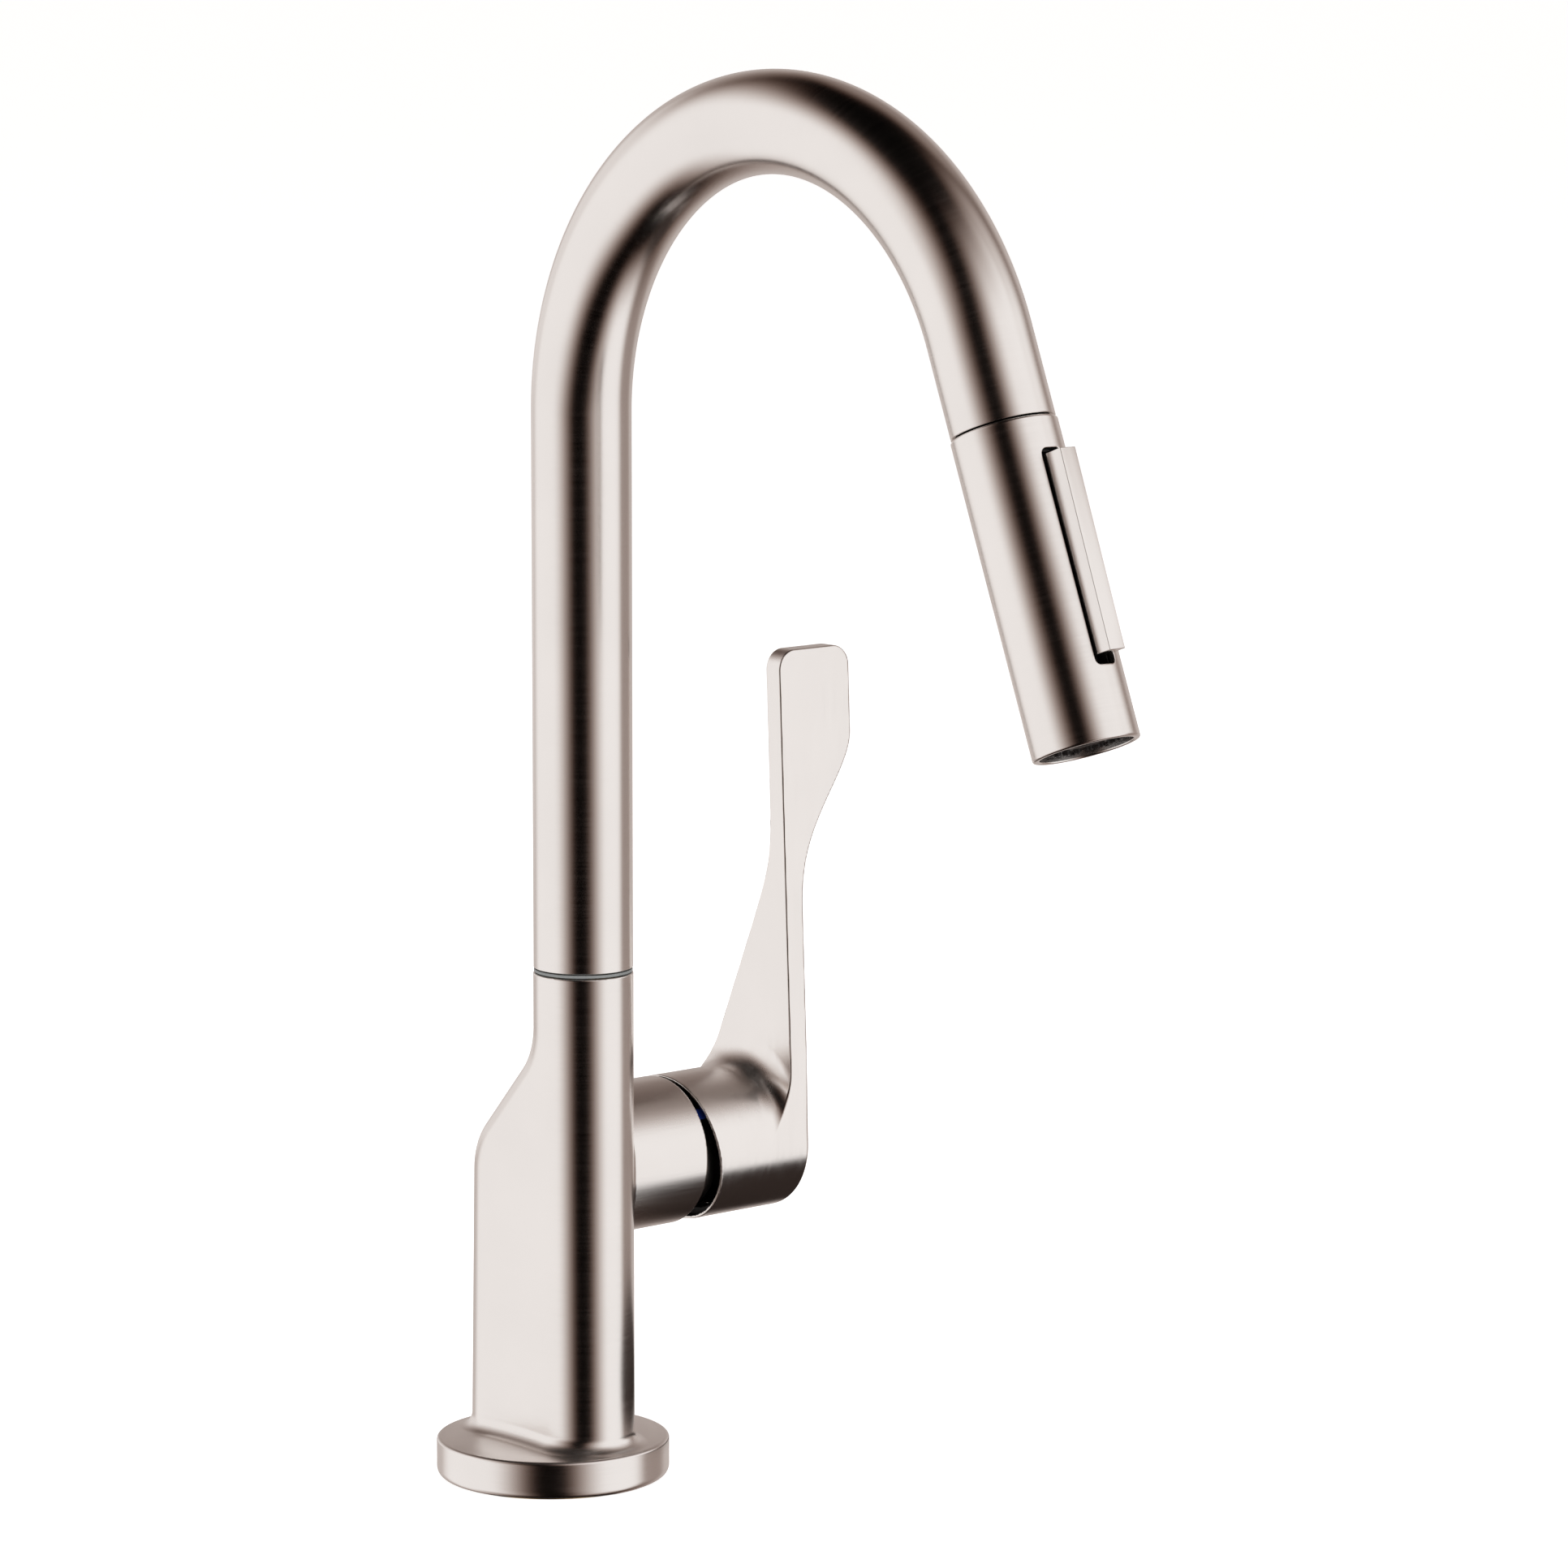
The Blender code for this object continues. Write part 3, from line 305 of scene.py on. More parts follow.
def braid_material():
    """A woven sleeve: two sets of strands that cross, laid out along the hose by its UV map."""
    material, shader, make = shader_of("braided_sleeve", (0.2, 0.2, 0.21), 0.5)
    link = material.node_tree.links.new
    where = make("ShaderNodeTexCoord").outputs["UV"]
    strands = []
    for turn in (STRAND_ANGLE, -STRAND_ANGLE):
        across = make("ShaderNodeMapping", {"Vector": where, "Rotation": (0.0, 0.0, turn)})
        strands.append(make("ShaderNodeTexWave", {
            "Vector": across.outputs["Vector"], "Scale": STRAND_SCALE, "Distortion": 0.0,
        }, wave_profile="SIN").outputs["Fac"])
    crossing = make("ShaderNodeMath", {0: strands[0], 1: strands[1]}, operation="MAXIMUM").outputs[0]
    ramp = make("ShaderNodeValToRGB", {"Fac": crossing})
    ramp.color_ramp.elements[0].color = (0.05, 0.05, 0.055, 1.0)
    ramp.color_ramp.elements[0].position = 0.35
    ramp.color_ramp.elements[1].color = (0.42, 0.42, 0.44, 1.0)
    link(ramp.outputs["Color"], shader.inputs["Base Color"])
    relief = make("ShaderNodeBump", {"Strength": 1.0, "Distance": 2.5e-4, "Height": crossing})
    link(relief.outputs["Normal"], shader.inputs["Normal"])
    return material


BRAID = braid_material()
SLOT_MATERIALS = {
    "nickel": NICKEL_BODY, "brass": BRASS, "steel": STEEL, "rubber": RUBBER, "dark_plastic": DARK_PLASTIC,
    "grey_plastic": GREY_PLASTIC, "ceramic": CERAMIC, "braid": BRAID, "blue": BLUE, "red": RED,
}


# ---- mesh building

def smooth(share):
    share = np.clip(share, 0.0, 1.0)
    return share * share * (3.0 - 2.0 * share)


SHARP_ANGLE = math.radians(35.0)


def add_object(name, data):
    obj = bpy.data.objects.new(name, data)
    scene.collection.objects.link(obj)
    return obj


def attach(obj, body, node):
    """Rides an object on a body and lets it stand for its CAD node."""
    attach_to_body(obj, body)
    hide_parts(node)


def piece(name, points, faces, material, place, body, node, slot, normals=None, uvs=None, shade_faces=None):
    """A mesh object that rides on a body and stands for its CAD node. The last argument, if given, is a pair of
    a material and a test of face centres, and the faces that pass have their own material: a dark painted shade."""
    mesh = bpy.data.meshes.new(name)
    mesh.from_pydata([tuple(p) for p in points], [], faces)
    mesh.validate()
    mesh.shade_smooth()
    if uvs is not None:
        layer = mesh.uv_layers.new(name="along")
        layer.data.foreach_set("uv", np.asarray(uvs, float).ravel())
    if normals is None:
        mesh.set_sharp_from_angle(angle=SHARP_ANGLE)
    else:
        mesh.normals_split_custom_set_from_vertices([tuple(n) for n in normals])
    mesh.materials.append(material)
    if shade_faces:
        mesh.materials.append(shade_faces[0])
        centres = np.array([polygon.center for polygon in mesh.polygons])
        mesh.polygons.foreach_set("material_index", shade_faces[1](*centres.T).astype(np.int32))
    obj = add_object(name, mesh)
    obj.matrix_world = place
    if body:
        attach(obj, body, node)
    return obj


CORNER_STEPS = 3
CORNER_REACH = 0.45  # the most of a side that one rounded corner takes up


def softened(profile, radius):
    """A closed profile with each corner rounded."""
    corners = [Vector(point) for point in profile]
    points = []
    for index, corner in enumerate(corners):
        before = corners[index - 1] - corner
        after = corners[(index + 1) % len(corners)] - corner
        reach_before = min(radius, CORNER_REACH * before.length) / before.length
        reach_after = min(radius, CORNER_REACH * after.length) / after.length
        for step in range(CORNER_STEPS + 1):
            share = step / CORNER_STEPS
            start = corner + before * reach_before * (1.0 - share)
            end = corner + after * reach_after * share
            points.append(tuple(start.lerp(end, share)))
    return points


AROUND = 96


def turned(name, profile, radius, *part):
    """A closed profile of (radius, height), with rounded corners, turned about Z."""
    rows = softened(profile, radius)
    angles = np.arange(AROUND) * TURN / AROUND
    points = [(r * math.cos(a), r * math.sin(a), z) for r, z in rows for a in angles]
    faces = []
    for row in range(len(rows)):
        start, after = row * AROUND, (row + 1) % len(rows) * AROUND
        for step in range(AROUND):
            aside = (step + 1) % AROUND
            faces.append((start + step, start + aside, after + aside, after + step))
    area = sum(a[0] * b[1] - b[0] * a[1] for a, b in zip(rows, rows[1:] + rows[:1]))
    if area < 0.0:
        faces = [face[::-1] for face in faces]
    return piece(name, points, faces, *part)


def swept(name, path, rings, material, place, body, node, slot, around=AROUND, lengths=None):
    """A round tube along a path in a plane of constant X. Rings are pairs of the path point's index and a
    radius, in order around the tube's wall. Lengths, for the UV map, are the path's own unless given."""
    points = []
    for index, radius in rings:
        here = Vector(path[index])
        before = Vector(path[max(0, index - 1)])
        after = Vector(path[min(len(path) - 1, index + 1)])
        along = (after - before).normalized()
        side = Vector((1, 0, 0))
        up = along.cross(side).normalized()
        for step in range(around + 1):
            angle = TURN * step / around
            points.append(here + side * radius * math.cos(angle) + up * radius * math.sin(angle))
    faces, uvs = [], []
    if lengths is None:
        lengths = [0.0]
        for a, b in zip(path, path[1:]):
            lengths.append(lengths[-1] + (Vector(b) - Vector(a)).length)
    width = around + 1
    girth = TURN * max(radius for _, radius in rings)
    for row, (index, _) in enumerate(rings):
        next_row = (row + 1) % len(rings)
        start, after = row * width, next_row * width
        low, high = lengths[index], lengths[rings[next_row][0]]
        for step in range(around):
            faces.append((start + step, after + step, after + step + 1, start + step + 1))
            left, right = girth * step / around, girth * (step + 1) / around
            uvs += [(low, left), (high, left), (high, right), (low, right)]
    obj = piece(name, points, faces, material, place, None, None, slot, uvs=uvs)
    weld(obj)
    if body:
        attach(obj, body, node)
    return obj


def weld(obj):
    """Joins the points that meet where a tube closes on itself."""
    bm = bmesh.new()
    bm.from_mesh(obj.data)
    bmesh.ops.remove_doubles(bm, verts=bm.verts, dist=1e-7)
    bmesh.ops.recalc_face_normals(bm, faces=bm.faces)
    bm.to_mesh(obj.data)
    bm.free()
    obj.data.shade_smooth()
    obj.data.set_sharp_from_angle(angle=SHARP_ANGLE)


# Fields give a distance to a surface in metres, or nearly so, and are negative inside.

def both(a, b, radius):
    """The common part of two fields, with its edge rounded."""
    rounding = hypot(maximum(a + radius, 0.0), maximum(b + radius, 0.0))
    return minimum(-radius, maximum(a, b)) + rounding


def either(a, b, radius):
    """The union of two fields, with a fillet in its corner."""
    fillet = hypot(maximum(radius - a, 0.0), maximum(radius - b, 0.0))
    return maximum(radius, minimum(a, b)) - fillet


SLOPE_REACH = 2e-5
STEPS_TO_FIELD = 4
LONGEST_STEP = 3e-4


def gradient(field, points):
    found = []
    for axis in range(3):
        moved = np.zeros(3)
        moved[axis] = SLOPE_REACH
        ahead = field(*(points + moved).T)
        behind = field(*(points - moved).T)
        found.append((ahead - behind) / (2.0 * SLOPE_REACH))
    return np.stack(found, axis=1)


def carved(name, field, axes, *part, bent=None, shade_faces=None):
    """The surface where a field is zero, drawn on a grid and then moved onto the field. Part is the material,
    place, body, node and slot; the slot is not used. With bent, the grid is (angle, radius, height) and goes all
    the way round."""
    grid = np.meshgrid(*axes, indexing="ij")
    world = bent(*grid) if bent else grid
    value = field(*world)
    inside = value < 0.0
    cells = np.array(value.shape) - 1
    quads, corner_ids, corner_points = [], [], []
    for axis in range(3):
        index = np.stack(np.nonzero(np.diff(inside, axis=axis)), axis=1)
        if bent and axis != 0:
            index = index[index[:, 0] < cells[0]]
        ahead = index.copy()
        ahead[:, axis] += 1
        a = value[tuple(index.T)]
        b = value[tuple(ahead.T)]
        share = (a / (a - b))[:, None]
        start = np.stack([w[tuple(index.T)] for w in world], axis=1)
        end = np.stack([w[tuple(ahead.T)] for w in world], axis=1)
        point = start + (end - start) * share
        others = [other for other in range(3) if other != axis]
        around = []
        for first, second in ((1, 1), (0, 1), (0, 0), (1, 0)):
            cell = index.copy()
            cell[:, others[0]] -= first
            cell[:, others[1]] -= second
            if bent:
                cell[:, 0] %= cells[0]
            around.append(cell)
        valid = np.ones(len(index), bool)
        for cell in around:
            valid &= ((cell >= 0) & (cell < cells)).all(axis=1)
        ids = [np.ravel_multi_index(tuple(cell[valid].T), tuple(cells)) for cell in around]
        corner_ids += ids
        corner_points += [point[valid]] * len(ids)
        quad = np.stack(ids, axis=1)
        turned_over = (a < 0.0)[valid] == (axis == 1)
        quad[turned_over] = quad[turned_over][:, ::-1]
        quads.append(quad)
    unique, inverse = np.unique(np.concatenate(corner_ids), return_inverse=True)
    counts = np.bincount(inverse)
    sums = [np.bincount(inverse, weights=column) for column in np.concatenate(corner_points).T]
    points = np.stack([column / counts for column in sums], axis=1)
    for _ in range(STEPS_TO_FIELD):
        slope = gradient(field, points)
        away = field(*points.T) / maximum((slope**2).sum(axis=1), 1e-6)
        points = points - slope * np.clip(away, -LONGEST_STEP, LONGEST_STEP)[:, None]
    slope = gradient(field, points)
    normals = slope / np.linalg.norm(slope, axis=1)[:, None]
    faces = np.searchsorted(unique, np.concatenate(quads))
    first = points[faces[:, 0]]
    facing = np.cross(points[faces[:, 1]] - first, points[faces[:, 2]] - first)
    towards = (facing * normals[faces[:, 0]]).sum(axis=1)
    if np.median(towards) < 0.0:
        faces = faces[:, ::-1]
    return piece(name, points, faces.tolist(), *part, normals=normals, shade_faces=shade_faces)


def steps(low, high, cell):
    return np.linspace(low, high, int(math.ceil((high - low) / cell)) + 1)


def round_the_axis(angle, radius, height):
    return radius * np.cos(angle), radius * np.sin(angle), height


# ---- body

def body_length(height):
    """Distance between the centres of the body's round ends at each height."""
    bend = SHOULDER_BEND * math.sin(SHOULDER_SLOPE)
    rise = SHOULDER_BEND * (1.0 - math.cos(SHOULDER_SLOPE))
    total = 2.0 * bend + (BODY_STEP - 2.0 * rise) / math.tan(SHOULDER_SLOPE)
    depth = SHOULDER_TOP - height
    draft = (BODY_LENGTH - BODY_STEP) / (SHOULDER_TOP - BASE_RIM - total)
    upper = SHOULDER_BEND - np.sqrt(maximum(SHOULDER_BEND**2 - np.clip(depth, 0, bend) ** 2, 0.0))
    middle = rise + (depth - bend) * math.tan(SHOULDER_SLOPE)
    lower = BODY_STEP - SHOULDER_BEND + np.sqrt(SHOULDER_BEND**2 - np.clip(total - depth, 0, bend) ** 2)
    straight = BODY_STEP + draft * (depth - total)
    return np.select([depth <= bend, depth <= total - bend, depth <= total], [upper, middle, lower], straight)


def beside(x, y, length, radius):
    """Distance to the upright stadium whose front centre stands under the spout."""
    along = np.clip(y - SPOUT_Y, 0.0, length)
    return hypot(x, y - SPOUT_Y - along) - radius


def pipe(a, b, low, high, along, radius):
    """A plain round rod or bore along one axis."""
    return maximum(hypot(a, b) - radius, maximum(low - along, along - high))


def body_field(x, y, z):
    length = body_length(z)
    casing = both(beside(x, y, length, BODY_R), z - BODY_TOP, 0.0003)
    out = hypot(x, y)
    top = (z - BASE_RIM - BASE_SLOPE * (BASE_R - out)) / math.hypot(1.0, BASE_SLOPE)
    flange = both(both(top, out - BASE_R, BASE_EDGES[0]), -z, BASE_EDGES[1])
    field = either(casing, flange, BASE_FILLET)
    field = maximum(field, -z)
    hub = both(hypot(y - HUB_Y, z - HUB_Z) - HUB_R, x - HUB_END, 0.0005)
    field = either(field, maximum(hub, -x), HUB_FILLET)
    chamber = pipe(y - HUB_Y, z - HUB_Z, CHAMBER_BACK, FAR, x, CHAMBER_R)
    field = both(field, -chamber, 0.0004)
    groove_in, groove_out, groove_depth = GASKET_GROOVE
    hollows = [
        pipe(x, y - SPOUT_Y, SEAT_Z, FAR, z, SEAT_R),
        pipe(x, y - SPOUT_Y, -FAR, HOSE_WAY_TOP, z, HOSE_WAY_R),
        maximum(beside(x, y, BODY_LENGTH, BODY_R - BODY_WALL), z - CAVITY_TOP),
        pipe(x, y, -FAR, SHANK_SEAT_TOP, z, SHANK_SEAT_R),
        maximum(pipe(x, y, -FAR, groove_depth, z, groove_out), groove_in - out),
    ]
    for centre in FITTINGS.values():
        hollows.append(pipe(x - centre.x, y - centre.y, -FAR, PORT_TOP, z, PORT_R))
    for hollow in hollows:
        field = both(field, -hollow, 0.0002)
    return field


def make_body():
    cell = 0.0005
    carved("body_casing", body_field, [
        steps(-0.0345, 0.0415, cell), steps(-0.0345, 0.0345, cell), steps(-0.0011, 0.1485, cell),
    ], NICKEL_BODY, STANDING, "base", "body_shell", "nickel")


# ---- handle

def handle_field(x, y, z):
    """The hub's cup and the lever that grows from its outer end and widens into a paddle."""
    above = z - HUB_Z
    aside = y - HUB_Y
    beyond = x - HANDLE_BACK + above * HANDLE_LEAN
    barrel = hypot(aside, above) - HUB_R
    mouth = (HUB_MOUTH - above * MOUTH_TILT - x) / math.hypot(1.0, MOUTH_TILT)
    share = np.clip((z - PADDLE_START) / (PADDLE_FULL - PADDLE_START), 0.0, 1.0)
    width = LEVER_THICK + (PADDLE_WIDTH - LEVER_THICK) * smooth(share**PADDLE_SWELL)
    wide = HUB_R + (HUB_R - above * math.sin(LEVER_BACK_ANGLE)) / math.cos(LEVER_BACK_ANGLE)
    depth = LEVER_THIN + LEVER_BLEND * np.logaddexp(0.0, (wide - LEVER_THIN) / LEVER_BLEND)
    back = aside + HUB_R - depth
    low_back = (above < HUB_R * math.sin(LEVER_BACK_ANGLE)) & (aside > 0.0)
    back = np.where(low_back, maximum(back, barrel), back)
    outline = minimum(barrel, maximum(maximum(-(aside + HUB_R), back), -above))
    inner = -(beyond + LEVER_THICK)
    outer = beyond + LEVER_THICK - width
    rooted = either(barrel, inner, LEVER_ROOT)
    edge = LEVER_EDGE + HUB_END_EDGE * smooth(1.0 - above / LEVER_FADE)
    inner_edge = LEVER_EDGE * np.clip(barrel / 0.004, 0.0, 1.0)
    lower = both(both(outline, outer, edge), rooted, inner_edge)
    upper = both(both(maximum(inner, outer), z - LEVER_TOP, PADDLE_CORNER), outline, LEVER_EDGE)
    field = both(np.where(z > PADDLE_START - 0.01, upper, lower), mouth, 0.0004)
    field = both(field, -cup_field(x, y, z), 0.0003)
    boss = pipe(aside, above, *BOSS_ENDS, x, BOSS_R)
    field = minimum(field, boss)
    square = maximum(np.abs(aside), np.abs(above)) - SOCKET_HALF
    socket = maximum(square, np.abs(x - SOCKET_MIDDLE) - SOCKET_DEPTH)
    hole = pipe(x - PIVOT.x - SET_SCREW_X, aside, -0.023, -0.002, above, SET_SCREW_R)
    return both(both(field, -socket, 0.0001), -hole, 0.0003)


def cup_field(x, y, z):
    """The hollow of the handle's hub, wider near its mouth."""
    out = hypot(y - HUB_Y, z - HUB_Z)
    return minimum(maximum(out - CUP_R, x - CUP_FLOOR), maximum(out - CUP_MOUTH_R, x - CUP_STEP))


def from_pivot(field):
    return lambda x, y, z: field(x + PIVOT.x, y + PIVOT.y, z + PIVOT.z)


def make_handle():
    cell = 0.00045
    low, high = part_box("handle")
    margin = 0.001
    # Painted shade: the faces inside the cup get the dark finish that stands for the shade there.
    cup_shade_mask = from_pivot(lambda x, y, z: cup_field(x, y, z) < 0.0002)
    carved("lever_handle", from_pivot(handle_field), [
        steps(low[i] - margin - PIVOT[i], high[i] + margin - PIVOT[i], cell) for i in range(3)
    ], NICKEL_HANDLE, Matrix.Translation(PIVOT), "handle", "handle", "nickel", shade_faces=(PAINTED_SHADE_INSIDE, cup_shade_mask))


# ---- spout

ARC_STEPS = 110
SEAM_IN_SPOUT = SEAM - Vector((0.0, SPOUT_Y, 0.0))


def spout_path():
    """Up the riser, over the arch and down to the seam, in the spout's own frame."""
    points = [(0.0, 0.0, TUBE_START), (0.0, 0.0, ARC_START)]
    for step in range(1, ARC_STEPS + 1):
        angle = ARC_SWEEP * step / ARC_STEPS
        points.append((0.0, -ARC_R + ARC_R * math.cos(angle), ARC_START + ARC_R * math.sin(angle)))
    points.append(tuple(SEAM_IN_SPOUT - HEAD_DOWN * GAP))
    return points


def make_spout():
    path = spout_path()
    inner = TUBE_R - TUBE_WALL
    lip = SEAM_LIP
    start, end = Vector(path[0]), Vector(path[-1])
    first_way = (Vector(path[1]) - start).normalized()
    last_way = (end - Vector(path[-2])).normalized()
    path = [path[0], tuple(start + first_way * lip), *path[1:-1], tuple(end - last_way * lip), path[-1]]
    last = len(path) - 1
    outside = [(0, TUBE_R - lip)] + [(index, TUBE_R) for index in range(1, last)] + [(last, TUBE_R - lip)]
    inside = [(last, inner)] + [(index, inner) for index in range(last - 1, 0, -1)] + [(0, inner)]
    swept("spout_pipe", path, outside + inside, NICKEL_TUBE, ON_SPOUT, "spout", "spout_tube", "nickel")


# ---- spray head

def head_field(x, y, z):
    """The casing of the spray head, chamfered at the seam and open for the selector bar."""
    out = hypot(x, y)
    slope = (out - HEAD_R + z + SEAM_LIP + HEAD_CHAMFER) * math.sqrt(0.5)
    shell = both(out - HEAD_R, z + SEAM_LIP, 0.0001)
    shell = both(shell, slope, 0.0001)
    shell = both(shell, HEAD_BOTTOM - z, HEAD_FOOT)
    bore = both(out - HEAD_BORE_R, z + HEAD_BORE_TOP, 0.0002)
    shell = both(shell, -bore, 0.0003)
    shell = both(shell, HEAD_NECK_R - out, 0.0002)
    return both(shell, -slot_field(x, y, z), 0.0003)


def slot_field(x, y, z):
    """The opening for the selector bar."""
    slot = both(np.abs(x) - SLOT_HALF_WIDTH, np.abs(z - SLOT_MIDDLE) - SLOT_HALF_LENGTH, SLOT_CORNER)
    return maximum(slot, y - SLOT_DEPTH_Y)


def slot_shade_mask(x, y, z):
    """Whether a point is on the opening's walls or on the inside of the casing, the faces that get the dark
    painted shade.
    """
    out = hypot(x, y)
    walls = (slot_field(x, y, z) < 0.0001) & (out < HEAD_R - 0.0005)
    return walls | (out < HEAD_BORE_R + 0.0001) & (z > HEAD_BOTTOM + 0.003)


def make_head():
    cell = 0.0003
    # Painted shade: the slot's walls and the bore get the dark finish that stands for their shade.
    carved("spray_head_casing", head_field, [
        np.linspace(0.0, TURN, 301), steps(0.0096, 0.015, cell),
        steps(HEAD_BOTTOM - 0.0006, 0.0004, cell),
    ], NICKEL_HEAD, ON_HEAD, "head", "head_shell", "nickel",
        bent=round_the_axis, shade_faces=(PAINTED_SHADE_INSIDE, slot_shade_mask))


# ---- round pieces and threads

def ring_field(x, y, z, outer, inner, low, high, edge):
    """A ring about Z with rounded edges."""
    out = hypot(x, y)
    return both(both(out - outer, inner - out, edge), maximum(low - z, z - high), edge)


def hexagon(x, y, across):
    """An upright bar of six sides, by the distance across its flats."""
    found = -1.0
    for turn in (0.0, math.pi / 3.0, TURN / 3.0):
        found = maximum(found, np.abs(x * math.cos(turn) + y * math.sin(turn)) - across / 2.0)
    return found


def thread(x, y, z, radius, pitch, depth):
    """An outside thread about Z, with flat crests and roots."""
    turn = (z / pitch + np.arctan2(y, x) / TURN) % 1.0
    rise = np.clip(1.5 * np.abs(2.0 * turn - 1.0) - 0.25, 0.0, 1.0)
    return hypot(x, y) - radius + depth * rise


def about_z(outer, inner, low, high, cell, around):
    """Grid axes of angle, radius and height around a round piece."""
    margin = 2.0 * cell
    radii = steps(max(cell / 3.0, inner - margin), outer + margin, cell)
    return [np.linspace(0.0, TURN, around + 1), radii, steps(low - margin, high + margin, cell)]


def round_piece(name, field, size, cell, *part, around):
    """A carved piece about Z. Size is its outer and inner radius and its lowest and highest level."""
    return carved(name, field, about_z(*size, cell, around), *part, bent=round_the_axis)


def ring(outer, inner, low, high):
    """The profile of a plain ring."""
    return [(outer, high), (outer, low), (inner, low), (inner, high)]


# ---- selector bar

ROCKER_PIN_OUT = 0.0102
BAR_HALF = 0.02685
BAR_WIDTH = 0.0059
BAR_MIDDLE = -0.03775
BAR_EDGE = 0.00016


def make_bar():
    """A straight bar whose outer face tapers a little towards the outlet."""
    low, high = BAR_MIDDLE - BAR_HALF, BAR_MIDDLE + BAR_HALF
    outline = [(-0.0187, low), (-0.0114, low), (-0.0118, high), (-0.0195, high)]
    bm = bmesh.new()
    face = bm.faces.new([bm.verts.new((-BAR_WIDTH / 2.0, y, z)) for y, z in outline])
    grown = bmesh.ops.extrude_face_region(bm, geom=[face])
    moved = [item for item in grown["geom"] if isinstance(item, bmesh.types.BMVert)]
    bmesh.ops.translate(bm, verts=moved, vec=(BAR_WIDTH, 0.0, 0.0))
    bmesh.ops.bevel(bm, geom=bm.edges[:], offset=BAR_EDGE, segments=3, profile=0.5, affect="EDGES")
    bmesh.ops.recalc_face_normals(bm, faces=bm.faces)
    points = [vert.co.copy() for vert in bm.verts]
    faces = [[vert.index for vert in face.verts] for face in bm.faces]
    bm.free()
    return piece("selector_bar", points, faces, NICKEL_BAR, ON_HEAD, "rocker", "selector_rocker", "nickel")


# ---- index collar and marks

def mark_field(x, y, z, middle, half, outer, inner, low, high, edge):
    """Part of a ring, centred on an angle about Z. Half is half the angle it covers."""
    away = (np.arctan2(y, x) - middle + math.pi) % TURN - math.pi
    sides = np.abs(away) * outer - half * outer
    out = hypot(x, y)
    walls = both(out - outer, inner - out, edge)
    return both(both(walls, maximum(low - z, z - high), edge), sides, edge)


# Outer and inner radius, near and far end as seen from the body.
COLLAR = (0.0177, 0.0105, 0.0393, 0.0468)
POCKET = (0.019, 0.0168, 0.0415, 0.0458)
INLAY = (0.01765, 0.0171, 0.0418, 0.0455)
POCKET_HALF = math.radians(6.5)
INLAY_HALF = math.radians(5.5)
MARKS = {"cold_mark": (math.radians(228.0), BLUE, "blue"), "hot_mark": (math.radians(132.0), RED, "red")}


def index_field(x, y, z):
    """The collar behind the handle, with a pocket for each mark."""
    field = ring_field(x, y, z, *COLLAR, 0.0004)
    for middle, _, _ in MARKS.values():
        field = both(field, -mark_field(x, y, z, middle, POCKET_HALF, *POCKET, 0.0002), 0.0002)
    return field


def make_index():
    round_piece("index_collar", index_field, COLLAR, 0.00025, COLLAR_METAL, IN_HUB,
                "base", "index_ring", "dark_plastic", around=420)
    for node, (middle, material, slot) in MARKS.items():
        round_piece(
            node + "_inlay", lambda x, y, z: mark_field(x, y, z, middle, INLAY_HALF, *INLAY, 0.00015),
            INLAY, 0.00012, material, IN_HUB, "base", node, slot, around=900,
        )


# ---- turned pieces

def make_turned():
    """Washers, seals, sleeves, magnets and other plain turned pieces."""
    turned("bearing_ring", ring(0.0139, 0.0116, 0.14755, 0.1484), 0.0002, GREY_RING, ON_SPOUT,
           "base", "swivel_ring", "grey_plastic")
    rows = [
        ("foot_gasket", "base_gasket", "rubber", STANDING, "base", 0.0005, ring(0.0273, 0.0249, 0.0, 0.0017)),
        ("deck_washer", "friction_washer", "rubber", STANDING, "base", 0.0007,
         ring(0.028, 0.0168, -0.033, -0.03)),
        ("steel_washer", "clamp_washer", "steel", STANDING, "base", 0.0004,
         ring(0.028, 0.0168, -0.0353, -0.0333)),
        ("dock_liner", "dock_sleeve", "dark_plastic", ON_DOCK, "spout", 0.0003,
         [(0.0117, 0.0225), (0.0117, 0.0005), (0.0103, 0.0005), (0.0103, 0.0201), (0.0082, 0.0201),
          (0.0082, 0.0225)]),
        ("magnet_ring", "dock_magnet", "steel", ON_DOCK, "spout", 0.0004,
         ring(0.0099, 0.0076, 0.014, 0.0198)),
        ("catch_ring", "dock_ring", "steel", ON_HEAD, "head", 0.0004, ring(0.0099, 0.0079, 0.0105, 0.0135)),
        ("swivel_joint", "hose_connector", "steel", ON_DOCK, "hose_end", 0.0003,
         [(0.0069, 0.012), (0.0069, 0.004), (0.0073, 0.004), (0.0073, 0.0002), (0.006, 0.0002),
          (0.006, -0.0018), (0.0073, -0.0018), (0.0073, -0.004), (0.004, -0.004), (0.004, 0.012)]),
        ("non_return_valve", "check_valve", "grey_plastic", ON_HEAD, "head", 0.0003,
         ring(0.0072, 0.0032, -0.0116, -0.0043)),
        ("index_plug", "set_screw_plug", "grey_plastic", PLUG, "handle", 0.0003,
         ring(0.002, 0.00001, -0.0024, 0.0)),
    ]
    for name, node, slot, place, body, radius, profile in rows:
        turned(name, profile, radius, SLOT_MATERIALS[slot], place, body, node, slot)


# ---- outlet

NOZZLES = 20
NOZZLE_CIRCLE = 0.0102
NOZZLE_TIP_R = 0.001
NOZZLE_TAPER = 0.16
NOZZLE_HOLE_R = 0.00035
FACE_R = 0.0121
FACE_BORE_R = 0.0063
SCREEN_PITCH = 0.0013
SCREEN_BAR_HALF = 0.0002
CORE_SIZE = (0.0121, 0.005, -0.0802, 0.0102)  # outer and inner radius, lowest and highest level
CORE_SHOULDER = -0.0033
POCKET_HALF_LENGTH = 0.02825
SPOOL_Z = -0.054
SPOOL_R = 0.0027


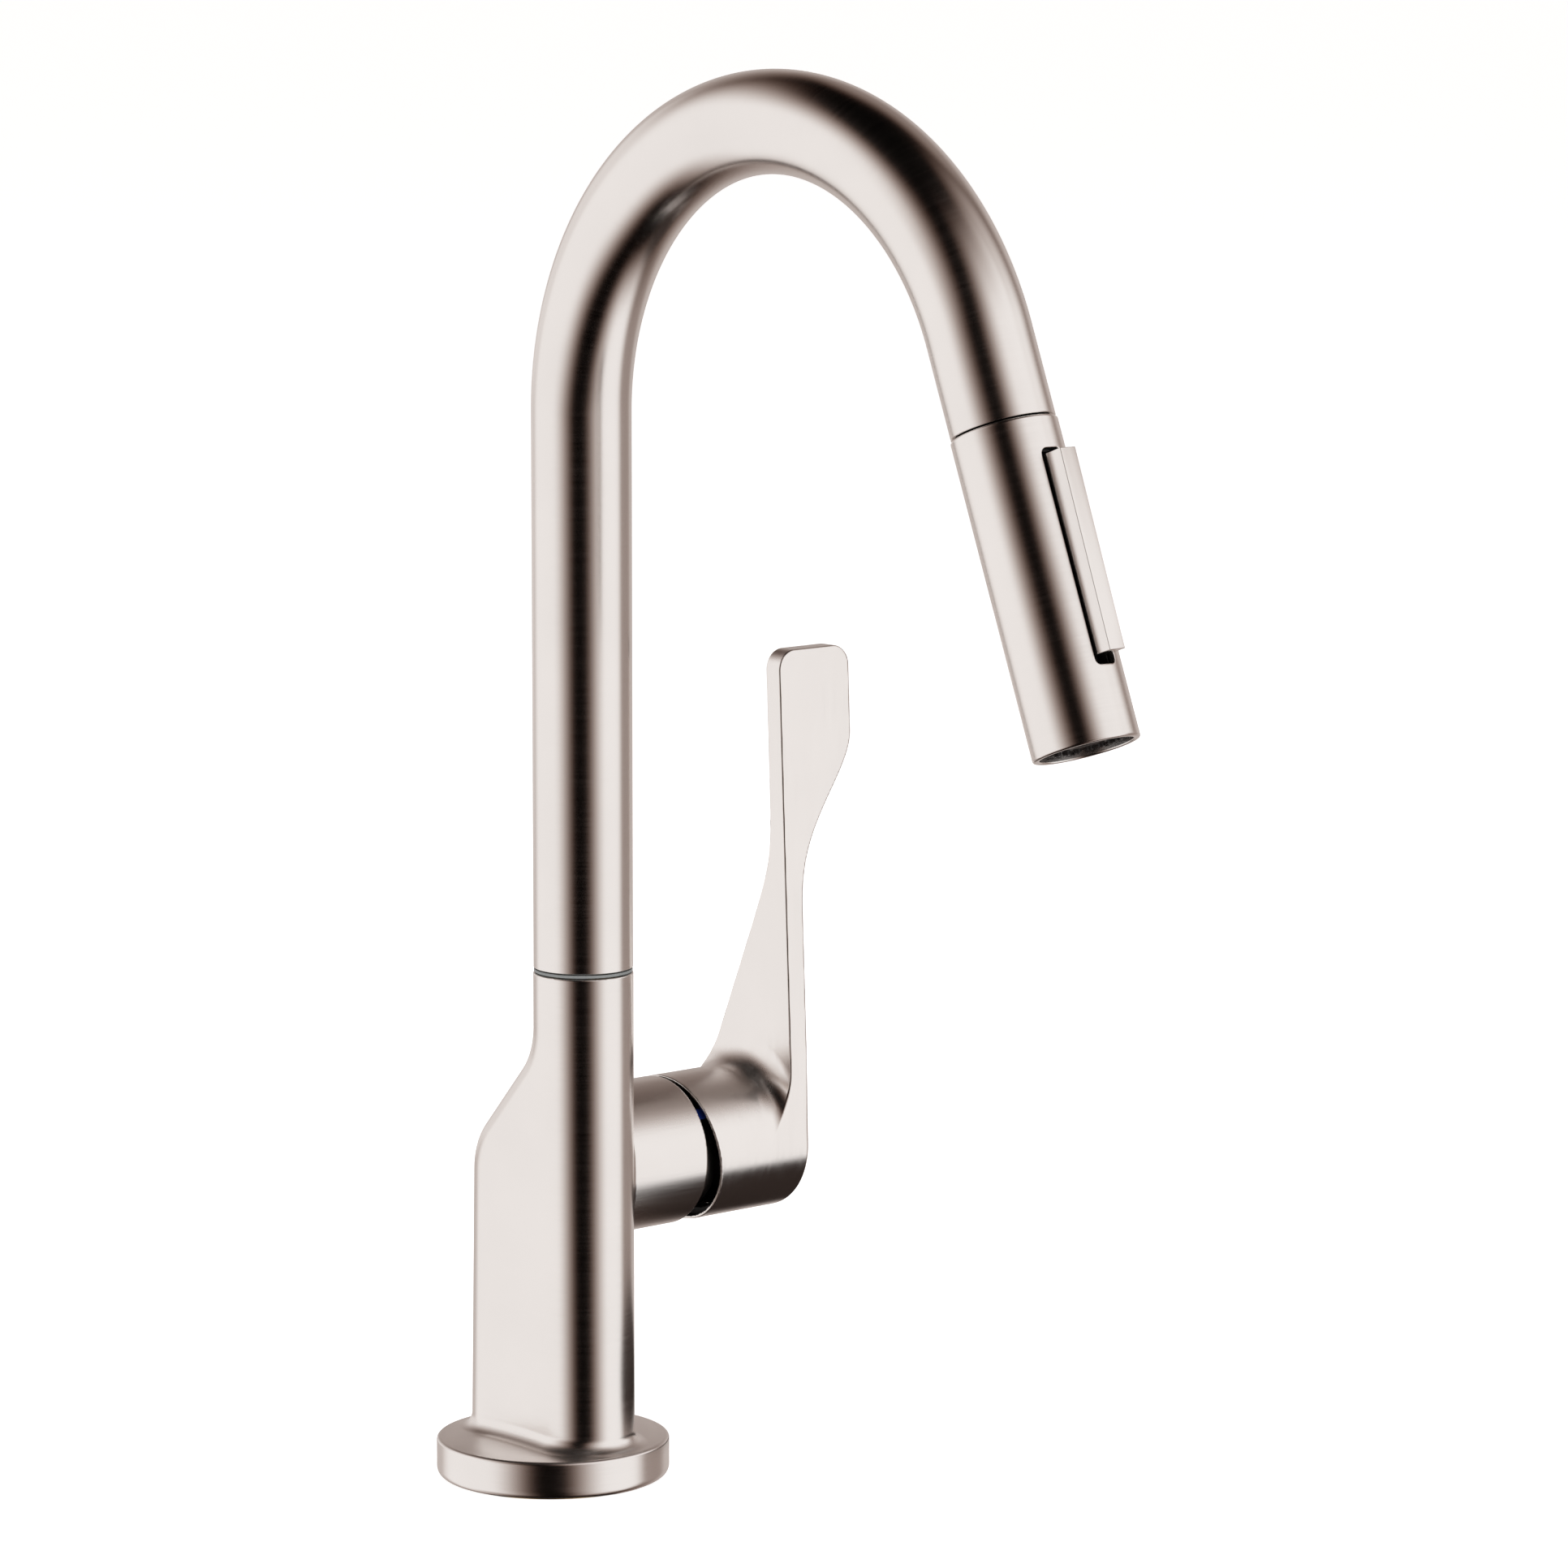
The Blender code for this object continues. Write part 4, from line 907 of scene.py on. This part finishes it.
def face_field(x, y, z):
    """The rubber spray face with its ring of tapered nozzles, each with a hole."""
    field = ring_field(x, y, z, FACE_R, FACE_BORE_R, HEAD_BOTTOM + 0.0022, HEAD_BOTTOM + 0.005, 0.0003)
    turn = TURN / NOZZLES
    angle = (np.arctan2(y, x) + turn / 2.0) % turn - turn / 2.0
    out = hypot(x, y)
    away = hypot(out * np.cos(angle) - NOZZLE_CIRCLE, out * np.sin(angle))
    cone = away - NOZZLE_TIP_R - NOZZLE_TAPER * (z - HEAD_BOTTOM - 0.0012)
    cone = both(cone, HEAD_BOTTOM + 0.0011 - z, 0.0002)
    field = either(field, maximum(cone, z - HEAD_BOTTOM - 0.004), 0.0002)
    return both(field, -maximum(away - NOZZLE_HOLE_R, z - HEAD_BOTTOM - 0.003), 0.0001)


def aerator_field(x, y, z):
    """The stream outlet: a ring with a screen of crossing bars inside."""
    rim = ring_field(x, y, z, 0.0059, 0.0046, HEAD_BOTTOM + 0.0018, HEAD_BOTTOM + 0.015, 0.0003)
    lip = ring_field(x, y, z, 0.0055, 0.0036, HEAD_BOTTOM + 0.0018, HEAD_BOTTOM + 0.003, 0.0003)
    half = SCREEN_PITCH / 2.0
    across = [np.abs((place + half) % SCREEN_PITCH - half) for place in (x, y)]
    screen = maximum(minimum(*across) - SCREEN_BAR_HALF, np.abs(z - HEAD_BOTTOM - 0.0034) - 0.0003)
    screen = maximum(screen, hypot(x, y) - 0.005)
    return minimum(minimum(rim, lip), screen)


def core_field(x, y, z):
    """The head's waterway, with the bar's pocket, its pin's hole and the spool's bore."""
    outer, bore_r, low, top = CORE_SIZE
    out = hypot(x, y)
    barrel = maximum(out - outer, maximum(low - z, z - CORE_SHOULDER))
    collar = both(out - 0.0099, maximum(-0.004 - z, z - top), 0.0003)
    field = minimum(barrel, collar)
    way = minimum(maximum(out - 0.0076, -0.012 - z), out - bore_r)
    way = minimum(way, maximum(out - 0.0095, z + 0.072))
    field = both(field, -way, 0.0002)
    pocket = maximum(y + 0.008, np.abs(z - SLOT_MIDDLE) - POCKET_HALF_LENGTH)
    pocket = maximum(np.abs(x) - SLOT_HALF_WIDTH, pocket)
    pin_hole = maximum(hypot(y + ROCKER_PIN_OUT, z - BAR_MIDDLE) - 0.0012, np.abs(x) - 0.0051)
    spool_bore = maximum(hypot(x, z - SPOOL_Z) - SPOOL_R, y - 0.0044)
    for hollow in (pocket, pin_hole, spool_bore):
        field = both(field, -hollow, 0.0002)
    return field


def make_outlet():
    size = (FACE_R, FACE_BORE_R, HEAD_BOTTOM + 0.0011, HEAD_BOTTOM + 0.005)
    round_piece("nozzle_face", face_field, size, 0.0002, FACE_RUBBER,
                ON_HEAD, "head", "spray_face", "rubber", around=480)
    cell = 0.0002
    carved("stream_outlet", aerator_field, [
        steps(-0.0062, 0.0062, cell), steps(-0.0062, 0.0062, cell),
        steps(HEAD_BOTTOM + 0.0014, HEAD_BOTTOM + 0.0154, cell),
    ], OUTLET_PLASTIC, ON_HEAD, "head", "aerator", "grey_plastic")
    round_piece("head_waterway", core_field, CORE_SIZE, 0.0004, DARK_PLASTIC,
                ON_HEAD, "head", "head_core", "dark_plastic", around=180)


# ---- under the deck

SHANK_R = 0.0163
SHANK_BORE = 0.01375
SHANK_END = -0.06
SHANK_FLANGE_R = 0.0232
SHANK_FLANGE_TOP = 0.007
SCREW_X = 0.02
THREAD_PITCH = 0.0015
NUT_TOP = -0.0356
NUT_LOW = -0.0456
NUT_CORNER_R = 0.025
NUT_BORE = 0.0166
# Outer and inner radius, lowest and highest level.
SCREW_SIZE = (0.0026, 0.0, 0.0009, 0.011)
FITTING_SIZE = (0.0042, 0.0021, 0.034, 0.0506)
CONNECTOR_SIZE = (HOSE_R, 0.0028, -0.07, -0.0523)
FITTING_NECK_R = 0.0034


def shank_field(x, y, z):
    """The threaded mounting shank, with a flange that screws into the base."""
    out = hypot(x, y)
    screw = maximum(thread(x, y, z, SHANK_R, THREAD_PITCH, 0.0008), z - 0.0036)
    screw = both(screw, out - SHANK_R - (z - SHANK_END) + 0.0012, 0.0002)
    screw = maximum(screw, SHANK_END - z)
    flange = both(out - SHANK_FLANGE_R, maximum(0.003 - z, z - SHANK_FLANGE_TOP), 0.0004)
    field = both(minimum(screw, flange), SHANK_BORE - out, 0.0003)
    hole = hypot(np.abs(x) - SCREW_X, y) - 0.0018
    return both(field, -hole, 0.0002)


def nut_field(x, y, z):
    """A hexagonal nut with its corners chamfered above and below."""
    out = hypot(x, y)
    middle = (NUT_TOP + NUT_LOW) / 2.0
    half = (NUT_TOP - NUT_LOW) / 2.0
    chamfer = out - 0.0246 + 1.8 * (np.abs(z - middle) - half + 0.0012)
    across = 2.0 * NUT_CORNER_R * math.cos(math.pi / 6.0)
    field = both(hexagon(y, x, across), np.abs(z - middle) - half, 0.0003)
    field = both(field, chamfer, 0.0003)
    bore = NUT_BORE + np.clip(np.abs(z - middle) - half + 0.0008, 0.0, 1.0)
    return both(field, bore - out, 0.0002)


def screw_field(x, y, z):
    """A pan-headed screw with a crossed recess, head downwards."""
    head_r, _, low, top = SCREW_SIZE
    out = hypot(x, y)
    shaft = both(thread(x, y, z, 0.0015, 0.0006, 0.0002), z - top, 0.0002)
    head = both(out - head_r, maximum(low - z, z - 0.0027), 0.0005)
    field = minimum(maximum(shaft, 0.002 - z), head)
    arms = minimum(np.abs(x), np.abs(y)) - 0.0004
    recess = maximum(maximum(arms, out - 0.0017), z - 0.002)
    return both(field, -recess, 0.0001)


def fitting_field(x, y, z):
    """A hose fitting with a thread at its end, a collar and a smooth neck."""
    collar_r, bore_r, low, top = FITTING_SIZE
    out = hypot(x, y)
    neck = both(maximum(out - FITTING_NECK_R, 0.04 - z), z - top, 0.0002)
    screw = maximum(thread(x, y, z, FITTING_NECK_R, 0.0009, 0.0004), z - 0.041)
    field = minimum(neck, both(screw, low - z, 0.0002))
    collar = both(out - collar_r, np.abs(z - 0.042) - 0.002, 0.0003)
    return both(minimum(field, collar), bore_r - out, 0.0002)


def connector_field(x, y, z):
    """The hose's lower end: a crimped sleeve and a threaded nipple."""
    outer, bore_r, low, top = CONNECTOR_SIZE
    out = hypot(x, y)
    crimp = outer - 0.00035 * np.clip(1.4 * np.cos(TURN * (z - top) / 0.003) - 0.6, 0.0, 1.0)
    sleeve = both(out - crimp, maximum(-0.064 - z, z - top), 0.0003)
    nipple = both(maximum(thread(x, y, z, 0.0048, 0.001, 0.0004), z + 0.063), low - z, 0.0003)
    return both(minimum(sleeve, nipple), bore_r - out, 0.0002)


def make_underside():
    size = (SHANK_FLANGE_R, SHANK_BORE, SHANK_END, SHANK_FLANGE_TOP)
    round_piece("threaded_shank", shank_field, size, 0.00035, BRASS, STANDING,
                "base", "mounting_shank", "brass", around=240)
    cell = 0.0005
    carved("deck_nut", nut_field, [
        steps(-0.026, 0.026, cell), steps(-0.026, 0.026, cell),
        steps(NUT_LOW - 0.001, NUT_TOP + 0.001, cell),
    ], BRASS, STANDING, "base", "mounting_nut", "brass")
    for node in ("shank_screw_left", "shank_screw_right"):
        round_piece(node + "_cross", screw_field, SCREW_SIZE, 0.00015, STEEL, upright_at(middle_of(node)),
                    "base", node, "steel", around=48)
    for node, middle in FITTINGS.items():
        round_piece(node + "_threaded", fitting_field, FITTING_SIZE, 0.0002, BRASS, upright_at(middle),
                    "base", node, "brass", around=72)
    node = "hose_end_connector"
    round_piece("hose_end_crimped", connector_field, CONNECTOR_SIZE, 0.00025, BRASS,
                upright_at(middle_of(node)), "base", node, "brass", around=96)


# ---- hoses

HOSE_WALL = 0.0016
HOSE_SHIFT = 0.0068
HOSE_BEND = (0.082, 0.074)
HOSE_LOW_END = -0.052
PULL_START = 0.03  # above the seam, inside the spout
PULL_END = 0.0122


def hose(name, path, body, node, lengths=None):
    last = len(path) - 1
    radii = [(index, HOSE_R) for index in range(last + 1)]
    radii += [(index, HOSE_R - HOSE_WALL) for index in range(last, -1, -1)]
    place = ON_SPOUT if body == "spout" else STANDING
    return swept(name, path, radii, BRAID, place, body, node, "braid", around=40, lengths=lengths)


def make_hoses():
    top = SEAT_Z - GAP
    route = []
    for height in np.linspace(top, HOSE_LOW_END, 61):
        share = float(smooth((HOSE_BEND[0] - height) / HOSE_BEND[1]))
        route.append((0.0, SPOUT_Y + HOSE_SHIFT * share, float(height)))
    hose("hose_through_body", route, "base", "hose_in_body")
    path = spout_path()
    lower = Vector(path[-1]) - HEAD_DOWN * (PULL_START - GAP)
    along = [(0.0, 0.0, float(height)) for height in np.linspace(SEAT_Z + GAP, ARC_START, 30)]
    above = [
        point for point in path[2:-1]
        if point[1] > -ARC_R or (Vector(point) - lower).dot(HEAD_DOWN) < -0.001
    ]
    hose("hose_through_spout", [*along, *above, tuple(lower)], "spout", "hose_in_spout")
    make_pull_hose()


def make_pull_hose():
    """The stretch of hose that slides out of the spout. It is spread evenly for the pulled-out length."""
    shares = np.linspace(0.0, 1.0, 161)
    stretch = PULL_START - PULL_END
    lengths = shares * stretch + PULL_LENGTH * smooth(shares)
    path = []
    for share in shares:
        path.append(tuple(SEAM_IN_SPOUT - HEAD_DOWN * (PULL_START - share * stretch)))
    made = hose("hose_pulled_out", path, None, None, lengths.tolist())
    made.matrix_world = ON_SPOUT
    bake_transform(made)


make_body()
make_handle()
make_spout()
make_head()
make_bar()
make_index()
make_turned()
make_outlet()
make_underside()
make_hoses()


# ---- carried-over CAD nodes

def finish_cad_nodes():
    for part in frame["record"]["subparts"]:
        node = frame["nodes"][part["node"]]
        for index in range(len(node.material_slots)):
            node.material_slots[index].material = SLOT_MATERIALS[part["material_slot"]]


finish_cad_nodes()


# ---- camera, light and floor

VIEW_AZIMUTH = math.radians(41.93)
VIEW_ELEVATION = math.radians(8.361)
VIEW_ROLL = math.radians(0.049)
VIEW_DISTANCE = 1.747
VIEW_TARGET = Vector((0.0, SPOUT_Y - 0.0844, 0.2098))
LENS = 148.41


def make_camera():
    forward = Vector((
        math.sin(VIEW_AZIMUTH) * math.cos(VIEW_ELEVATION),
        math.cos(VIEW_AZIMUTH) * math.cos(VIEW_ELEVATION),
        -math.sin(VIEW_ELEVATION),
    ))
    level = Vector((math.cos(VIEW_AZIMUTH), -math.sin(VIEW_AZIMUTH), 0.0))
    upright = level.cross(forward)
    right = level * math.cos(VIEW_ROLL) + upright * math.sin(VIEW_ROLL)
    camera = add_object("camera", bpy.data.cameras.new("camera"))
    camera.data.lens = LENS
    camera.data.clip_end = 200.0
    camera.matrix_world = placed(VIEW_TARGET - forward * VIEW_DISTANCE, -forward, right)
    scene.camera = camera


CARD_CENTRE = (0.162, -0.032)
CARD_R = 0.12
CARD_FULL_R = 0.07
CARD_LIFT = 0.0004
FLOOR_HALF = 60.0
FLOOR_GLOW = 0.8
LAMP_PLACE = (-0.6, -0.8, 2.6)
LAMP_TARGET = Vector((0.0, 0.0, 0.1))
LAMP_SIZE = 2.2
LAMP_POWER = 62.0
GREEN_POWER = 1.18  # the walls turn warmer where they are dimmer
BLUE_POWER = 1.27

# Studio walls as soft boxes. Azimuth is in degrees from the viewer's side, positive to the right; behind is
# in degrees from the far side, positive to the left. Each edge is a pair of angles between which the light
# rises from nothing to its full level. The azimuth edges shift with elevation, by one set of angles above
# SHIFT_FROM and by another set below it.
SHIFT_FROM = -18.0
SHIFT_TOP = 18.0
SHIFT_BOTTOM = -45.0
STRAIGHT = (0, 0, 0, 0)
SOFT_BOXES = [
    # (level, around, azimuth edges, shifts above, shifts below, elevation edges)
    (0.89, "azimuth", (-172, -120, -62, -12), (8, 8, -23, -8), (0, 0, -8, 0), (-78, -38, 22, 60)),
    (0.91, "azimuth", (11, 60, 90, 116), (-16, -9, 0, 0), (4, 8, 0, 8), (-78, -38, 30, 70)),
    (0.92, "azimuth", (70, 95, 105, 145), STRAIGHT, STRAIGHT, (-4, 8, 14, 74)),
    (0.54, "behind", (-62, -30, 30, 62), STRAIGHT, (-10, 0, 0, 0), (-66, -16, 8, 50)),
    (0.26, "behind", (-58, -34, -8, 14), STRAIGHT, STRAIGHT, (0, 20, 34, 62)),
    (0.32, "behind", (-90, -70, 0, 20), STRAIGHT, STRAIGHT, (-70, -18, -2, 48)),
    (0.7, "behind", (-10, 10, 30, 60), STRAIGHT, STRAIGHT, (-16, -7, -3, 9)),
    (0.76, "behind", (8, 30, 60, 90), STRAIGHT, STRAIGHT, (-14, -2, 14, 38)),
]


def make_world():
    """A studio: bright walls to the left and right, a dark gap towards the viewer, dim above and below."""
    world = bpy.data.worlds.new("studio")
    scene.world = world
    world.use_nodes = True
    tree = world.node_tree
    make = node_maker(tree)

    def math_node(kind, first, second=0.0):
        return make("ShaderNodeMath", {0: first, 1: second}, operation=kind).outputs[0]

    def between(value, start, end):
        return make("ShaderNodeMapRange", {
            "Value": value, "From Min": start, "From Max": end,
        }, interpolation_type="SMOOTHSTEP").outputs["Result"]

    where = make("ShaderNodeTexCoord").outputs["Generated"]
    facing = make("ShaderNodeVectorRotate", {
        "Vector": where, "Angle": VIEW_AZIMUTH,
    }, rotation_type="Z_AXIS").outputs["Vector"]
    right, away, up = make("ShaderNodeSeparateXYZ", {"Vector": facing}).outputs
    left, near = math_node("MULTIPLY", right, -1.0), math_node("MULTIPLY", away, -1.0)
    degrees = math.degrees(1.0)
    elevation = math_node("MULTIPLY", math_node("ARCSINE", up), degrees)
    angles = {
        "azimuth": math_node("MULTIPLY", math_node("ARCTAN2", right, near), degrees),
        "behind": math_node("MULTIPLY", math_node("ARCTAN2", left, away), degrees),
    }
    raised = between(elevation, SHIFT_FROM, SHIFT_TOP)
    lowered = between(elevation, SHIFT_FROM, SHIFT_BOTTOM)
    total = 0.0
    for level, around, azimuth_edges, above, below, elevation_edges in SOFT_BOXES:
        edges = []
        for edge, shift_above, shift_below in zip(azimuth_edges, above, below):
            for way, shift in ((raised, shift_above), (lowered, shift_below)):
                if shift:
                    edge = math_node("ADD", math_node("MULTIPLY", way, shift), edge)
            edges.append(edge)
        box = level
        for value, (low, full, still_full, high) in ((angles[around], edges), (elevation, elevation_edges)):
            box = math_node("MULTIPLY", box, between(value, low, full))
            box = math_node("MULTIPLY", box, between(value, high, still_full))
        total = math_node("MAXIMUM", total, box)
    green, blue = math_node("POWER", total, GREEN_POWER), math_node("POWER", total, BLUE_POWER)
    colour = make("ShaderNodeCombineColor", {"Red": total, "Green": green, "Blue": blue}).outputs["Color"]
    tree.links.new(colour, tree.nodes["Background"].inputs["Color"])
    tree.nodes["Background"].inputs["Strength"].default_value = 1.0


def make_card():
    """A dark card with a soft edge on the floor beside the hub, seen only in reflections."""
    corners = [
        (CARD_R * math.cos(angle), CARD_R * math.sin(angle), 0.0)
        for angle in np.linspace(0.0, TURN, 48, endpoint=False)
    ]
    mesh = bpy.data.meshes.new("dark_card")
    mesh.from_pydata(corners, [], [range(len(corners))])
    card = add_object("dark_card", mesh)
    card.location = (*CARD_CENTRE, CARD_LIFT)
    material, shader, make = shader_of("dark_card", (0.035, 0.026, 0.023), 1.0, Specular_IOR_Level=0.0)
    where = make("ShaderNodeTexCoord").outputs["Object"]
    away = make("ShaderNodeVectorMath", {0: where}, operation="LENGTH")
    fade = make("ShaderNodeMapRange", {
        "Value": away.outputs["Value"], "From Min": CARD_R, "From Max": CARD_FULL_R,
    }, interpolation_type="SMOOTHSTEP")
    material.node_tree.links.new(fade.outputs["Result"], shader.inputs["Alpha"])
    mesh.materials.append(material)
    card.visible_camera = False
    card.visible_diffuse = False
    card.visible_shadow = False


def make_stage():
    corners = [(FLOOR_HALF * x, FLOOR_HALF * y, 0.0) for x, y in ((-1, -1), (1, -1), (1, 1), (-1, 1))]
    floor_mesh = bpy.data.meshes.new("floor")
    floor_mesh.from_pydata(corners, [], [(0, 1, 2, 3)])
    floor = add_object("floor", floor_mesh)
    material, shader, _ = shader_of("pale_floor", (0.75, 0.75, 0.75), 0.9)
    shader.inputs["Emission Color"].default_value = (1.0, 1.0, 1.0, 1.0)
    shader.inputs["Emission Strength"].default_value = FLOOR_GLOW
    floor_mesh.materials.append(material)
    floor.visible_glossy = False
    make_card()
    light = bpy.data.lights.new("overhead", "AREA")
    light.shape = "DISK"
    light.size = LAMP_SIZE
    light.energy = LAMP_POWER
    lamp = add_object("overhead", light)
    lamp.location = LAMP_PLACE
    lamp.rotation_euler = (LAMP_TARGET - lamp.location).to_track_quat("-Z", "Y").to_euler()
    lamp.visible_glossy = False


make_camera()
make_world()
make_stage()
scene.view_settings.view_transform = "Standard"
